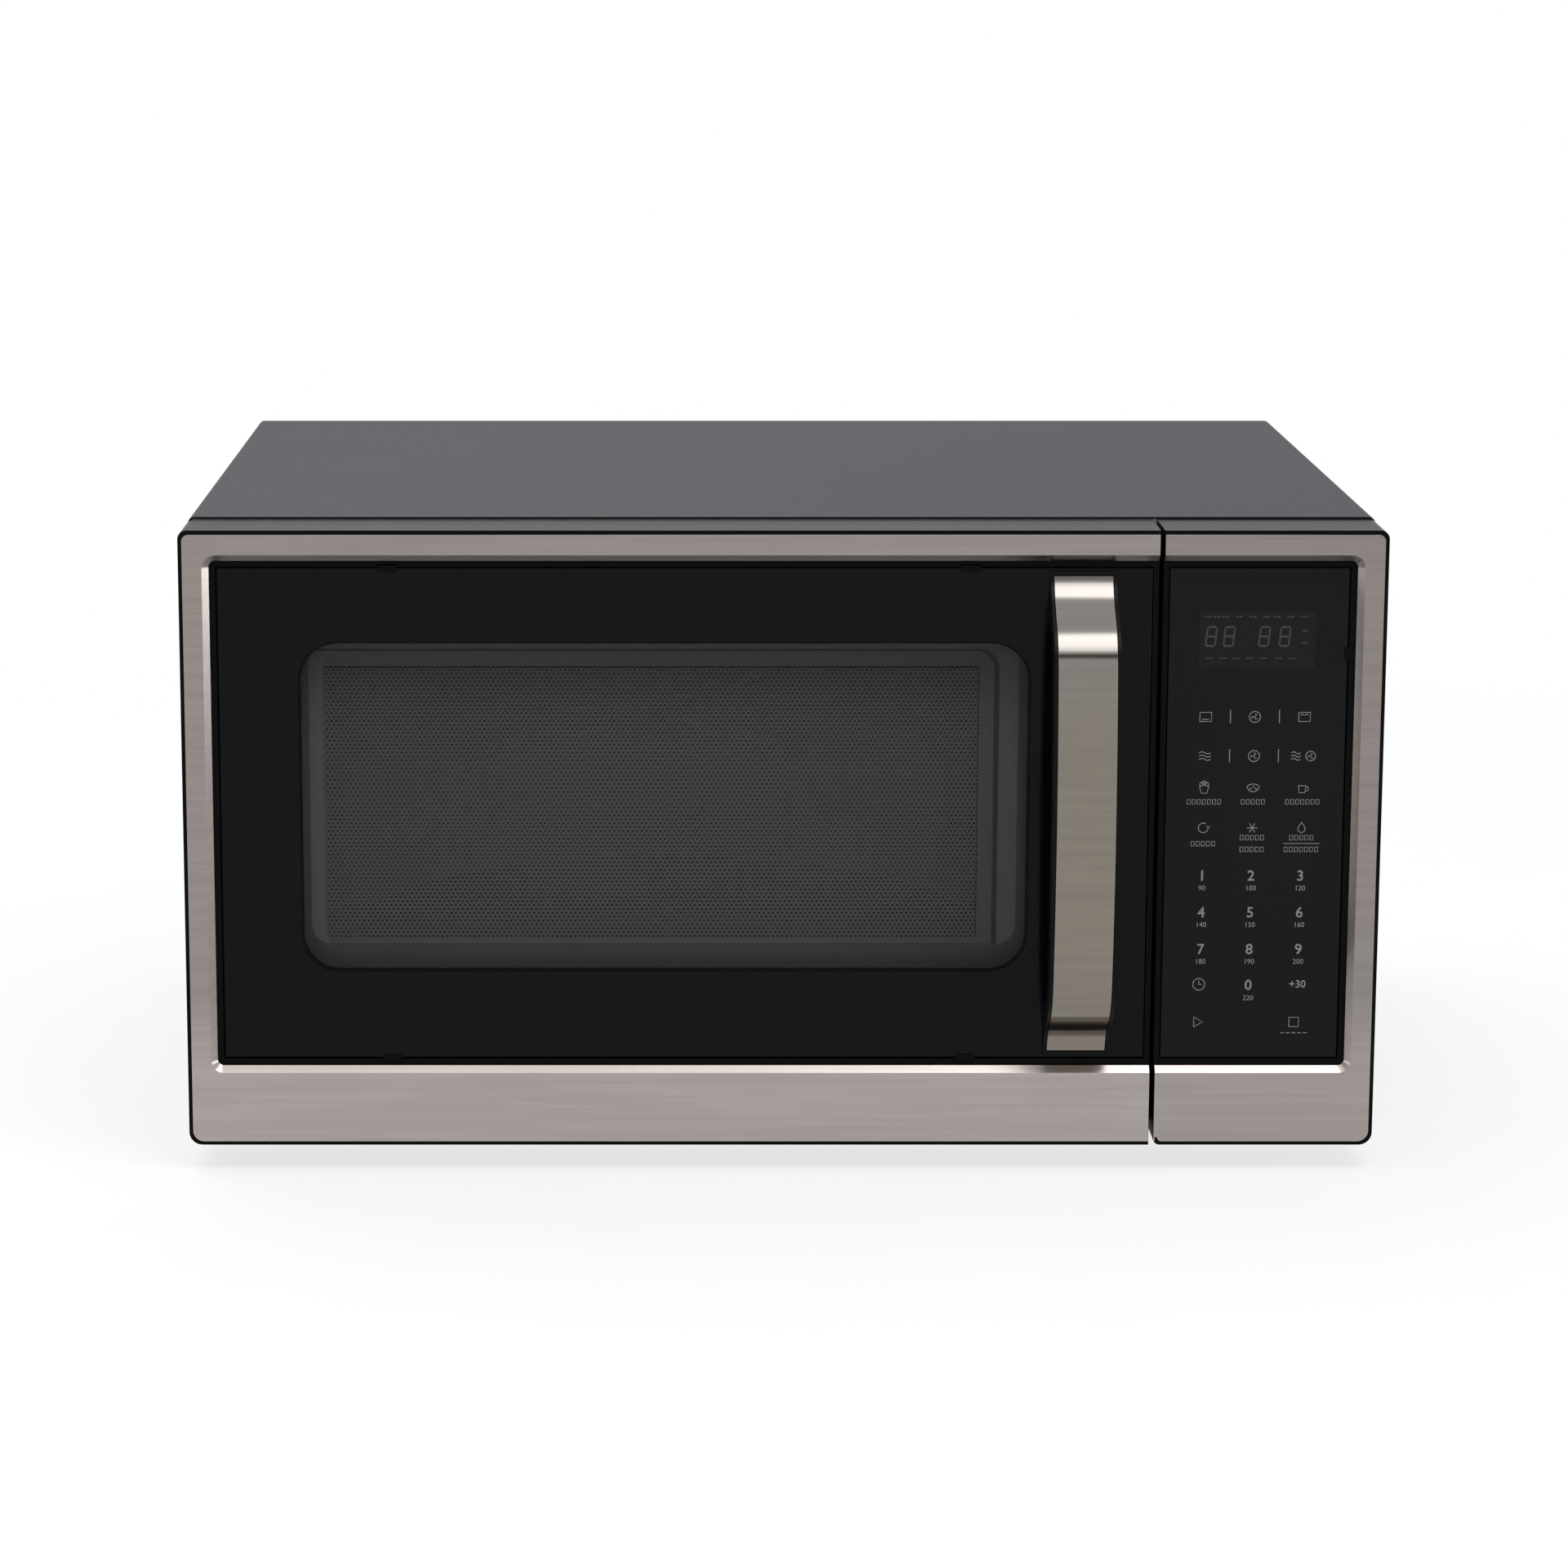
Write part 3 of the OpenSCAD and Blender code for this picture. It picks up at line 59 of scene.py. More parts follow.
# %% [markdown]
# ## Places that are used again and again
# The front of the door and of the control panel lies in one upright plane, and the glass lies a
# little behind it. The CAD pieces say where: the steel trims start at the front, and the front
# pane starts at the bottom of the recess. Asking the pieces keeps this file right if a size moves.
# The clear window in the front pane is the one place set here, as left, right, low and high,
# because the pane's finish and the print behind it both follow it.

# %% Planes and edges of the front
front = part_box("door_trim")[0].y
glass_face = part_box("door_glass")[0].y
glass_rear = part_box("door_glass")[1].y
front_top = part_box("door_frame")[1].z
WINDOW = (-0.2164, 0.1104, 0.0935, 0.2429)
WINDOW_ROUND = 0.0165
print("front plane", round(front, 4), "glass", round(glass_face, 4), "top", round(front_top, 4))

# %% [markdown]
# ## Selecting by hand, in code
# An operator in Blender acts on what is selected, as it does in the window. So each step starts
# with nothing selected and then holds one piece.

# %% Hold one piece


def hold(piece):
    bpy.ops.object.select_all(action="DESELECT")
    piece.select_set(True)
    bpy.context.view_layer.objects.active = piece


def edit(piece, mode="FACE"):
    hold(piece)
    bpy.ops.object.mode_set(mode="EDIT")
    bpy.ops.mesh.select_mode(type=mode)


def done():
    bpy.ops.object.mode_set(mode="OBJECT")


def settle(piece):
    """Puts the piece's place into its mesh, as a CAD solid has it."""
    hold(piece)
    bpy.ops.object.transform_apply(location=True, rotation=True, scale=True)


bpy.ops.object.select_all(action="DESELECT")
print("selected to begin with:", len(bpy.context.selected_objects))

# %% [markdown]
# ## The camera
# The oven stands a little below the eye, about two metres away, seen with a long lens that keeps
# its upright edges almost parallel. The lens is turned down to the oven and not to the side. The
# oven's middle is not the middle of the view, and a small shift of the film sets that right
# without turning the uprights.

# %% Camera
EYE_LEFT = 0.0523
EYE_AHEAD = 2.035
EYE_ABOVE_TOP = 0.287
DOWNWARD = 11.17
LENS = 105.9
FILM_WIDE = 36
FILM_SHIFT = 0.0752
FARTHEST = 50
bpy.ops.object.camera_add(
    location=(-EYE_LEFT, front - EYE_AHEAD, front_top + EYE_ABOVE_TOP),
    rotation=(math.radians(90 - DOWNWARD), 0, 0),
)
camera = bpy.context.object
camera.data.sensor_width = FILM_WIDE
camera.data.lens = LENS
camera.data.shift_x = FILM_SHIFT
camera.data.clip_end = FARTHEST
bpy.context.scene.camera = camera
bpy.context.scene.view_settings.view_transform = "Standard"
print("camera at", [round(value, 3) for value in camera.location])

# %% [markdown]
# ## Shader maths as plain sums
# A finish is a small network of nodes. Drawing it by hand would mean dozens of wires, so one
# class stands for a socket and understands + - *. Colours go through Mix nodes instead, because a
# Math node would turn them grey.

# %% Wires


class Wire:
    """An output socket. Sums and products of wires add their Math nodes."""

    def __init__(self, recipe, socket):
        self.recipe, self.socket = recipe, socket

    def maths(self, operation, first, second):
        return self.recipe.node(
            "ShaderNodeMath", {"operation": operation}, {0: first, 1: second}
        )[0]

    def __add__(self, other):
        return self.maths("ADD", self, other)

    def __radd__(self, other):
        return self.maths("ADD", other, self)

    def __rsub__(self, other):
        return self.maths("SUBTRACT", other, self)

    def __mul__(self, other):
        return self.maths("MULTIPLY", self, other)

    def __rmul__(self, other):
        return self.maths("MULTIPLY", other, self)


class Added:
    """A node that was added: its outputs by name or number."""

    def __init__(self, recipe, node):
        self.recipe, self.made = recipe, node

    def __getitem__(self, key):
        return Wire(self.recipe, self.made.outputs[key])


print("helpers made:", Wire.__name__, Added.__name__)

# %% [markdown]
# ## Recipes
# A recipe is one material and the few steps that every finish needs. One method adds any node. The
# others are short words for what comes up again and again: where a point lies, noise, a mix of two
# colours, a soft step, a bump. The last one sets the shader's own sockets.

# %% Recipes


class Recipe:
    """One material while it is being made."""

    def __init__(self, name):
        self.material = bpy.data.materials.new(name)
        self.material.use_nodes = True
        self.tree = self.material.node_tree
        self.shader = self.tree.nodes["Principled BSDF"]

    def node(self, kind, settings=None, values=None):
        """settings are the node's own choices, and values go into its sockets."""
        made = self.tree.nodes.new(kind)
        for name, value in (settings or {}).items():
            setattr(made, name, value)
        for key, value in (values or {}).items():
            self.feed(made.inputs[key], value)
        return Added(self, made)

    def feed(self, socket, value):
        """A wire is linked to the socket, and anything else is set on it."""
        if isinstance(value, Wire):
            self.tree.links.new(value.socket, socket)
        elif isinstance(value, tuple) and len(value) == 3 and socket.type == "RGBA":
            socket.default_value = (*value, 1)
        else:
            socket.default_value = value

    def place(self, stretch=(1, 1, 1)):
        """The point on the piece in metres, stretched for a pattern."""
        where = self.node("ShaderNodeTexCoord")["Object"]
        return self.node("ShaderNodeMapping", values={"Vector": where, "Scale": stretch})["Vector"]

    def noise(self, stretch, detail=3.0):
        values = {"Vector": self.place(stretch), "Scale": 1.0, "Detail": detail}
        return self.node("ShaderNodeTexNoise", values=values)[0]

    def mix(self, share, first, second):
        """Sockets 6 and 7 of the Mix node are its two colours, and output 2 is the mixed one."""
        return self.node("ShaderNodeMix", {"data_type": "RGBA"}, {0: share, 6: first, 7: second})[2]

    def step(self, value, low, high):
        """0 below low, 1 above high, and a soft rise between them."""
        values = {"Value": value, "From Min": low, "From Max": high}
        return self.node("ShaderNodeMapRange", {"interpolation_type": "SMOOTHSTEP"}, values)[0]

    def bump(self, height, strength, distance):
        values = {"Height": height, "Strength": strength, "Distance": distance}
        return self.node("ShaderNodeBump", values=values)["Normal"]

    def finish(self, **inputs):
        """Sets the shader's sockets: numbers directly, wires by a link."""
        for name, value in inputs.items():
            self.feed(self.shader.inputs[name.replace("_", " ")], value)
        return self.material


print("helper made:", Recipe.__name__)

# %% [markdown]
# ## Colours
# Paint charts give a colour as three numbers up to 255, as the eye steps it. Light adds up in even
# steps, so the numbers are turned into light once, here.

# %% Colours


def tint(red, green, blue):
    """A colour of a paint chart, turned into light."""
    share = [value / 255 for value in (red, green, blue)]
    return tuple(v / 12.92 if v <= 0.04045 else ((v + 0.055) / 1.055) ** 2.4 for v in share)


def shaded(colour, share):
    """The same colour, darker or lighter."""
    return tuple(min(1.0, value * share) for value in colour)


print("middle grey as light:", [round(value, 3) for value in tint(128, 128, 128)])

# %% [markdown]
# ## The floor
# The oven stands on a white sweep. More light would bleach the oven along with the floor, so the
# floor is lifted to white only for the eye and for reflections. Near the oven it is half lit and
# half lifted, so it keeps the oven's shadow, and farther out it is all lift, which hides where it
# ends.

# %% Floor
FLOOR_SIZE = 16
NEAR, FAR = 0.5, 1.3
NEAR_LIFT = 0.74
FLOOR_DARK, FLOOR_LIGHT, FLOOR_GRAIN = 0.30, 0.32, 30


def seen(recipe):
    """1 for the eye and for reflections, 0 where the light itself is worked out."""
    path = recipe.node("ShaderNodeLightPath")
    rays = path["Is Camera Ray"] + path["Is Glossy Ray"] + path["Is Transmission Ray"]
    return recipe.node("ShaderNodeMath", {"operation": "MINIMUM"}, {0: rays, 1: 1.0})[0]


bpy.ops.mesh.primitive_plane_add(size=FLOOR_SIZE, location=(0, 0, 0))
floor = bpy.context.object
floor.name = "studio_floor"
floor_recipe = Recipe("floor_white")
lift = seen(floor_recipe)
away = floor_recipe.node(
    "ShaderNodeVectorMath", {"operation": "LENGTH"}, {0: floor_recipe.place()}
)["Value"]
far = lift * floor_recipe.step(away, NEAR, FAR)
floor_grain = floor_recipe.noise((FLOOR_GRAIN,) * 3)
near_floor = floor_recipe.mix(floor_grain, (FLOOR_DARK,) * 3, (FLOOR_LIGHT,) * 3)
near_lift = floor_recipe.mix(lift, (0, 0, 0), (NEAR_LIFT,) * 3)
floor_recipe.finish(
    Base_Color=floor_recipe.mix(far, near_floor, (0, 0, 0)),
    Roughness=0.8,
    Specular_IOR_Level=0.0,
    Emission_Color=floor_recipe.mix(far, near_lift, (1, 1, 1)),
    Emission_Strength=1.0,
)
floor.data.materials.append(floor_recipe.material)
print("floor", FLOOR_SIZE, "metres wide, all white from", FAR)

# %% [markdown]
# ## The white all round
# The world works as the floor does: a weak even light for the oven, and plain white for the eye
# and for what the steel and the glass reflect.

# %% World
WORLD_LIGHT = 0.36


class Sky(Recipe):
    """The world's network, built with the same steps as a material."""

    def __init__(self, name):
        world = bpy.data.worlds.new(name)
        world.use_nodes = True
        bpy.context.scene.world = world
        self.tree = world.node_tree
        self.tree.nodes.remove(self.tree.nodes["Background"])


sky = Sky("studio_white")
plain = sky.node(
    "ShaderNodeBackground", values={"Color": (0.97, 0.98, 1.0), "Strength": WORLD_LIGHT}
)[0]
white = sky.node("ShaderNodeBackground", values={"Color": (1, 1, 1), "Strength": 1.0})[0]
both = sky.node("ShaderNodeMixShader", values={0: seen(sky), 1: plain, 2: white})[0]
sky.feed(sky.tree.nodes["World Output"].inputs["Surface"], both)
print("world light", WORLD_LIGHT)

# %% [markdown]
# ## The lamps
# Every lamp is a soft box. Two hang in front and above, where the handle's upper bend and the lip
# below the glass reflect them, and the stronger one stands to the right. A third, above and
# behind, lights the cover. A low one at each side lines the upright lips.

# %% Lamps
LAMPS = [
    ("soft_box_front", (0.03, -0.83, 1.53), (1.7, 0.72), 3.6),
    ("soft_box_key", (0.50, -0.83, 1.53), (1.1, 0.72), 6.4),
    ("soft_box_above", (-0.55, 0.72, 1.74), (1.8, 1.50), 16.5),
    ("side_box_right", (1.35, -0.20, 0.17), (0.5, 0.32), 4.0),
    ("side_box_left", (-1.8, -0.32, 0.36), (0.8, 0.66), 3.2),
]
AIM = Vector((0, front, 0.16))
for name, place, size, watts in LAMPS:
    bpy.ops.object.light_add(type="AREA", location=place)
    lamp = bpy.context.object
    lamp.name = name
    lamp.rotation_euler = (AIM - lamp.location).to_track_quat("-Z", "Y").to_euler()
    lamp.data.shape = "RECTANGLE"
    lamp.data.size, lamp.data.size_y = size
    lamp.data.energy = watts
print("lamps:", len(LAMPS))

# %% [markdown]
# ## The black card
# A dark line on a bent steel handle comes from a black card hung in the light. The card is for
# the reflection alone, so neither the eye nor the lamps meet it.

# %% Black card
CARD_PLACE = (0.03, -1.39, 1.08)
CARD_WIDE, CARD_HIGH = 1.6, 0.19
CARD_DARK, CARD_LIGHT, CARD_GRAIN = 0.02, 0.03, 9
bpy.ops.mesh.primitive_plane_add(size=1, location=CARD_PLACE)
card = bpy.context.object
card.name = "black_card"
card.rotation_euler = (AIM - card.location).to_track_quat("Z", "Y").to_euler()
card.scale = (CARD_WIDE, CARD_HIGH, 1)
card_recipe = Recipe("card_black")
card_grain = card_recipe.noise((CARD_GRAIN,) * 3)
card_recipe.finish(
    Base_Color=card_recipe.mix(card_grain, (CARD_DARK,) * 3, (CARD_LIGHT,) * 3),
    Roughness=0.9,
)
card.data.materials.append(card_recipe.material)
card.visible_camera = False
card.visible_diffuse = False
card.visible_shadow = False
print("card", CARD_WIDE, "by", CARD_HIGH)

# %% [markdown]
# ## Brushed stainless steel
# The trims are drawn sheet that was brushed along its length before forming, so fine scratches
# run sideways, and the light on it spreads upright. Very stretched noise gives the scratches:
# one fine layer for the bump and a coarser one of short streaks that shades the colour. The colour
# also changes with the height between two given colours, a painted reflection: the trims' is
# lighter low down, where they reflect the bright floor.

# %% Steel finish
SCRATCHES, SCRATCHES_ALONG, SCRATCH_RISE = 1500.0, 6.0, 0.00005
STREAKS, STREAKS_ALONG, STREAK_SPREAD = 300.0, 14.0, 0.2
FINE_SHARE = 0.4
ROUGH_SPREAD = 0.08


def brushed_steel(name, low_reflection_colour, high_reflection_colour, rough, depth, low=0.045, high=0.085):
    """Brushed from side to side. The colour changes between two heights, as a painted reflection.
    """
    recipe = Recipe(name)
    scratches = recipe.noise((SCRATCHES_ALONG, SCRATCHES, SCRATCHES), detail=2)
    streaks = recipe.noise((STREAKS_ALONG, STREAKS, STREAKS), detail=2)
    shade = FINE_SHARE * scratches + (1 - FINE_SHARE) * streaks
    height = recipe.node("ShaderNodeSeparateXYZ", values={0: recipe.place()})["Z"]
    # Painted reflection: the colour goes from the low colour to the high one between these heights.
    rise = recipe.step(height, low, high)
    dark, light = [
        recipe.mix(rise, shaded(low_reflection_colour, share), shaded(high_reflection_colour, share))
        for share in (1 - STREAK_SPREAD, 1 + STREAK_SPREAD)
    ]
    return recipe.finish(
        Base_Color=recipe.mix(shade, dark, light),
        Metallic=1.0,
        Roughness=rough - ROUGH_SPREAD / 2 + ROUGH_SPREAD * scratches,
        Normal=recipe.bump(scratches, depth, SCRATCH_RISE),
    )


# The low and high colours are a painted reflection: the trims lighter low down, the strap warmer
# low down.
trim_steel = brushed_steel(
    "trim_steel", tint(167, 159, 155), tint(147, 140, 136), rough=0.24, depth=0.05
)
panel_trim_steel = brushed_steel(
    "panel_trim_steel", tint(158, 150, 146), tint(140, 133, 129), rough=0.24, depth=0.05
)
strap_steel = brushed_steel(
    "strap_steel", tint(130, 124, 115), tint(132, 128, 124), rough=0.15, depth=0.03,
    low=0.2, high=0.26,
)
print("steels:", trim_steel.name, panel_trim_steel.name, strap_steel.name)

# %% [markdown]
# ## Paint, moulded plastic and enamel
# Paint on sheet metal has a faint orange peel, moulded black plastic has a spark-eroded grain, and
# enamel is smooth with slow waves. One recipe makes all of them: a grain of a given size, raised a
# given amount, which also dulls the surface a little where it is high.

# %% Grained finish
CLOUDS = 14.0
GRAIN_RISE = 0.2


def grained(name, colour, rough, size, depth=0.1, metal=0.0, spread=0.12, **rest):
    """size is the grain's in metres, and spread is how far the colour strays."""
    recipe = Recipe(name)
    grain = recipe.noise([1 / size] * 3, detail=2)
    cloud = recipe.noise([CLOUDS] * 3, detail=3)
    shade = 0.5 * grain + 0.5 * cloud
    return recipe.finish(
        Base_Color=recipe.mix(shade, shaded(colour, 1 - spread), shaded(colour, 1 + spread)),
        Metallic=metal,
        Roughness=rough - ROUGH_SPREAD / 2 + ROUGH_SPREAD * grain,
        Normal=recipe.bump(grain, depth, size * GRAIN_RISE),
        **rest,
    )


case_paint = grained(
    "case_paint", tint(49, 48, 55), 0.46, size=0.0012, depth=0.06, Specular_IOR_Level=0.06
)
bezel_black = grained(
    "bezel_black", tint(15, 15, 15), 0.34, size=0.0008, depth=0.03, Specular_IOR_Level=0.05
)
grip_black = grained(
    "grip_black", tint(12, 12, 12), 0.3, size=0.0007, depth=0.05, Specular_IOR_Level=0.1
)
choke_black = grained("choke_black", tint(24, 24, 24), 0.5, size=0.0009, depth=0.2)
door_enamel = grained("door_enamel", tint(168, 168, 168), 0.4, size=0.0015, depth=0.06)
screen_enamel = grained("screen_enamel", tint(148, 148, 149), 0.45, size=0.0012, depth=0.05)
# Painted shadow: the dark enamel of the line along the window opening's edge.
edge_shadow_enamel = grained("edge_shadow_enamel", tint(88, 88, 89), 0.45, size=0.0012, depth=0.05)
# Painted shade: the darker enamel of the border inside the window.
painted_shade_enamel = grained("painted_shade_enamel", tint(128, 128, 129), 0.45, size=0.0012, depth=0.05)
cavity_enamel = grained("cavity_enamel", tint(158, 158, 155), 0.32, size=0.002, depth=0.1)
key_film_black = grained(
    "key_film_black", tint(28, 28, 30), 0.3, size=0.0005, depth=0.0, Specular_IOR_Level=0.1
)
smoked = grained(
    "smoked_window", tint(39, 37, 37), 0.2, size=0.004, depth=0.0, Specular_IOR_Level=0.1
)
soft_rubber = grained("soft_rubber", tint(30, 30, 30), 0.75, size=0.0008, depth=0.3)
acetal = grained("acetal", tint(226, 222, 210), 0.42, size=0.001, depth=0.06, spread=0.03)
mica_sheet = grained("mica_sheet", tint(190, 172, 132), 0.5, size=0.003, depth=0.25, spread=0.2)
porcelain = grained("porcelain", tint(228, 222, 206), 0.35, size=0.0015, depth=0.1, spread=0.04)
board_green = grained("board_green", tint(36, 92, 52), 0.4, size=0.0025, depth=0.15, spread=0.25)
copper = grained("copper_winding", tint(184, 100, 60), 0.35, size=0.0009, depth=0.4, metal=0.9)
laminate = grained("core_laminate", tint(70, 70, 74), 0.45, size=0.0007, depth=0.3, metal=0.6)
sheath = grained("heater_sheath", tint(92, 88, 86), 0.5, size=0.0006, depth=0.3, metal=0.8)
alloy = grained("fan_alloy", tint(200, 200, 202), 0.35, size=0.0009, depth=0.1, metal=1.0)
motor_can = grained("motor_can", tint(150, 150, 154), 0.38, size=0.001, depth=0.12, metal=0.9)
screw_steel = grained("screw_steel", tint(196, 196, 198), 0.3, size=0.0005, depth=0.1, metal=1.0)
magnet_metal = grained("magnet_metal", tint(168, 150, 132), 0.4, size=0.0008, metal=0.8)
moulded_black = grained("moulded_black", tint(36, 36, 38), 0.45, size=0.0008, depth=0.2)
print("finishes so far:", len(bpy.data.materials))

# %% [markdown]
# ## Zinc-plated sheet
# The plates that hold the oven together are hot-dipped sheet, with the flakes that zinc forms as
# it sets. Cells of a Voronoi pattern in slightly different greys give the flakes.

# %% Zinc finish
FLAKES = 240
ZINC_ROUGH, ZINC_SPREAD = 0.34, 0.14
zinc_recipe = Recipe("zinc_sheet")
flakes = zinc_recipe.node(
    "ShaderNodeTexVoronoi", values={"Vector": zinc_recipe.place((FLAKES,) * 3), "Scale": 1.0}
)["Color"]
flake_grey = zinc_recipe.node("ShaderNodeSeparateColor", values={0: flakes})[0]
zinc = zinc_recipe.finish(
    Base_Color=zinc_recipe.mix(flake_grey, tint(172, 174, 176), tint(192, 194, 196)),
    Metallic=1.0,
    Roughness=ZINC_ROUGH + ZINC_SPREAD * flake_grey,
)
print("zinc flakes to the metre:", FLAKES)

# %% [markdown]
# ## Glass
# The front pane, the inner pane of the door, the turntable and the lamp's bulb are thin, so what
# is behind it is not bent, only dimmed. A share of the surface is simply see-through, and the rest
# keeps its gloss. Fine smears in the roughness keep it from looking like a drawn sheet. The front
# pane is see-through only in its window: outside, where ink backs it, it hides all behind it.

# %% Glass finish
INK_STARTS, INK_FULL = 0.0006, 0.0014
HAZE, SMEAR, DARKEST = 0.02, 0.06, 0.9


def printed_share(recipe):
    """0 in the clear window, and 1 from about a millimetre outside its edge."""
    left, right, low, high = WINDOW
    middle = ((left + right) / 2, 0, (low + high) / 2)
    straight = ((right - left) / 2 - WINDOW_ROUND, 0, (high - low) / 2 - WINDOW_ROUND)
    point = recipe.place()
    steps = [
        ("SUBTRACT", middle), ("ABSOLUTE", (0, 0, 0)), ("SUBTRACT", straight),
        ("MAXIMUM", (0, 0, 0)), ("MULTIPLY", (1, 0, 1)),
    ]
    for operation, value in steps:
        point = recipe.node(
            "ShaderNodeVectorMath", {"operation": operation}, {0: point, 1: value}
        )[0]
    away = recipe.node("ShaderNodeVectorMath", {"operation": "LENGTH"}, {0: point})["Value"]
    return recipe.step(away, WINDOW_ROUND + INK_STARTS, WINDOW_ROUND + INK_FULL)


def pane(name, colour, solid, rough, printed=False, **rest):
    """solid is how much of the pane hides what is behind it."""
    recipe = Recipe(name)
    smear = recipe.noise((9, 9, 30), detail=4)
    slow = recipe.noise((3, 3, 3), detail=1)
    hides = solid + HAZE * slow
    if printed:
        hides = hides + printed_share(recipe) * (1 - hides)
    return recipe.finish(
        Base_Color=recipe.mix(slow, colour, shaded(colour, DARKEST)),
        Roughness=rough + SMEAR * smear,
        Alpha=hides,
        IOR=1.5,
        **rest,
    )


front_glass = pane(
    "front_glass", tint(14, 14, 15), 0.24, 0.06, printed=True, Specular_IOR_Level=0.1
)
clear_glass = pane("clear_glass", tint(150, 157, 155), 0.12, 0.05)
plate_glass = pane("plate_glass", tint(190, 204, 201), 0.3, 0.05)
bulb_glass = pane("bulb_glass", tint(236, 232, 214), 0.5, 0.08)
print("panes:", front_glass.name, clear_glass.name, plate_glass.name, bulb_glass.name)

# %% [markdown]
# ## Inks
# Ink is a thin dull film. A black one backs the glass round its window, a pale one marks the keys,
# and the figures of a display that is off are hardly lighter than the window they sit behind.

# %% Ink finishes
print_black = grained(
    "print_black", tint(38, 38, 39), 0.3, size=0.004, depth=0.0, Specular_IOR_Level=0.05
)
key_ink = grained("key_ink", tint(168, 168, 170), 0.5, size=0.0004, depth=0.1, spread=0.06)
digit_ink = grained("digit_ink", tint(46, 43, 41), 0.5, size=0.0006, depth=0.05)
print("finishes in all:", len(bpy.data.materials))

# %% [markdown]
# ## Which solid gets which finish
# The pieces inside the case show only through its louvres and when the door is open, and their
# shapes are right as they are. They keep their CAD solids and only get a finish.

# %% Finishes by node
FINISHES = {
    case_paint: ["outer_cover"],
    zinc: ["base_plate", "back_plate", "hinge_brackets", "capacitor_clamp",
           "waveguide", "magnetron_yoke", "magnetron_filter_box", "hv_capacitor"],
    cavity_enamel: ["front_plate", "cavity_wrap", "cavity_floor", "cavity_rear_wall", "fan_grille",
                    "convection_housing"],
    screw_steel: ["handle_screws", "case_screws", "latch_spring"],
    trim_steel: ["door_trim"],
    panel_trim_steel: ["control_trim"],
    strap_steel: ["handle_strap"],
    bezel_black: ["door_frame", "control_housing"],
    grip_black: ["handle_grip"],
    choke_black: ["choke_cover"],
    front_glass: ["door_glass"],
    clear_glass: ["inner_glass"],
    plate_glass: ["glass_turntable"],
    bulb_glass: ["lamp_bulb"],
    door_enamel: ["door_panel"],
    screen_enamel: ["door_screen"],
    key_film_black: ["touch_panel"],
    smoked: ["display_lens"],
    moulded_black: ["display_module", "interlock_switches", "cooling_fan", "cord_gland"],
    acetal: ["latch_plate", "interlock_bracket", "turntable_coupler", "roller_ring", "roller_1",
             "roller_2", "roller_3", "fan_shroud", "hinge_bushes"],
    mica_sheet: ["waveguide_cover"],
    porcelain: ["thermal_cutouts", "lamp_socket"],
    board_green: ["control_board", "filter_board"],
    magnet_metal: ["magnetron_core"],
    laminate: ["transformer_core"],
    copper: ["transformer_coils"],
    sheath: ["convection_heater"],
    alloy: ["convection_fan"],
    motor_can: ["cooling_fan_motor", "convection_motor", "turntable_motor"],
    soft_rubber: ["feet"],
}


def coat(piece, material):
    """The piece wears this finish and no other."""
    piece.data.materials.clear()
    piece.data.materials.append(material)


finished = set()
for material, members in FINISHES.items():
    for node in members:
        coat(nodes[node], material)
        finished.add(node)
print("nodes with a finish:", len(finished), "without:", sorted(set(nodes) - finished))

# %% [markdown]
# ## Softened edges
# No real edge is sharp: moulded plastic has a small radius, sheet metal a deburred edge, glass a
# ground one. The light that such an edge catches is what makes it read as real. A copy of the
# CAD solid is sewn together, its flat faces are merged, and a narrow bevel goes on every edge
# that turns sharply. Where such bevels meet, faces without area can be left, and these are
# dissolved. The copy then stands for the solid. Each line of the list is a node, the name of its
# copy and the radius in metres. The turntable's glass is round as it is, so its radius is 0.

# %% Copies with softened edges
WELD = 1e-6
FLAT_WITHIN = 0.2
SHARP_ABOVE = 35
SMOOTH_BELOW = 30
BEVEL_STEPS = 2


def soften(node, name, radius):
    """A copy of the solid with its sharp edges rounded, which stands for the solid."""
    piece = bpy.data.objects.new(name, nodes[node].data.copy())
    bpy.context.scene.collection.objects.link(piece)
    edit(piece)
    bpy.ops.mesh.select_all(action="SELECT")
    bpy.ops.mesh.remove_doubles(threshold=WELD)
    bpy.ops.mesh.dissolve_limited(angle_limit=math.radians(FLAT_WITHIN))
    done()
    if radius:
        bevel = piece.modifiers.new("edge", "BEVEL")
        bevel.width = radius
        bevel.segments = BEVEL_STEPS
        bevel.limit_method = "ANGLE"
        bevel.angle_limit = math.radians(SHARP_ABOVE)
        bpy.ops.object.modifier_apply(modifier="edge")
        edit(piece)
        bpy.ops.mesh.select_all(action="SELECT")
        bpy.ops.mesh.dissolve_degenerate(threshold=WELD)
        done()
    bpy.ops.object.shade_smooth_by_angle(angle=math.radians(SMOOTH_BELOW))
    piece.modifiers.new("even", "WEIGHTED_NORMAL").keep_sharp = True
    bpy.ops.object.modifier_apply(modifier="even")
    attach(piece, body_of_node[node])
    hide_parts(node)
    return piece


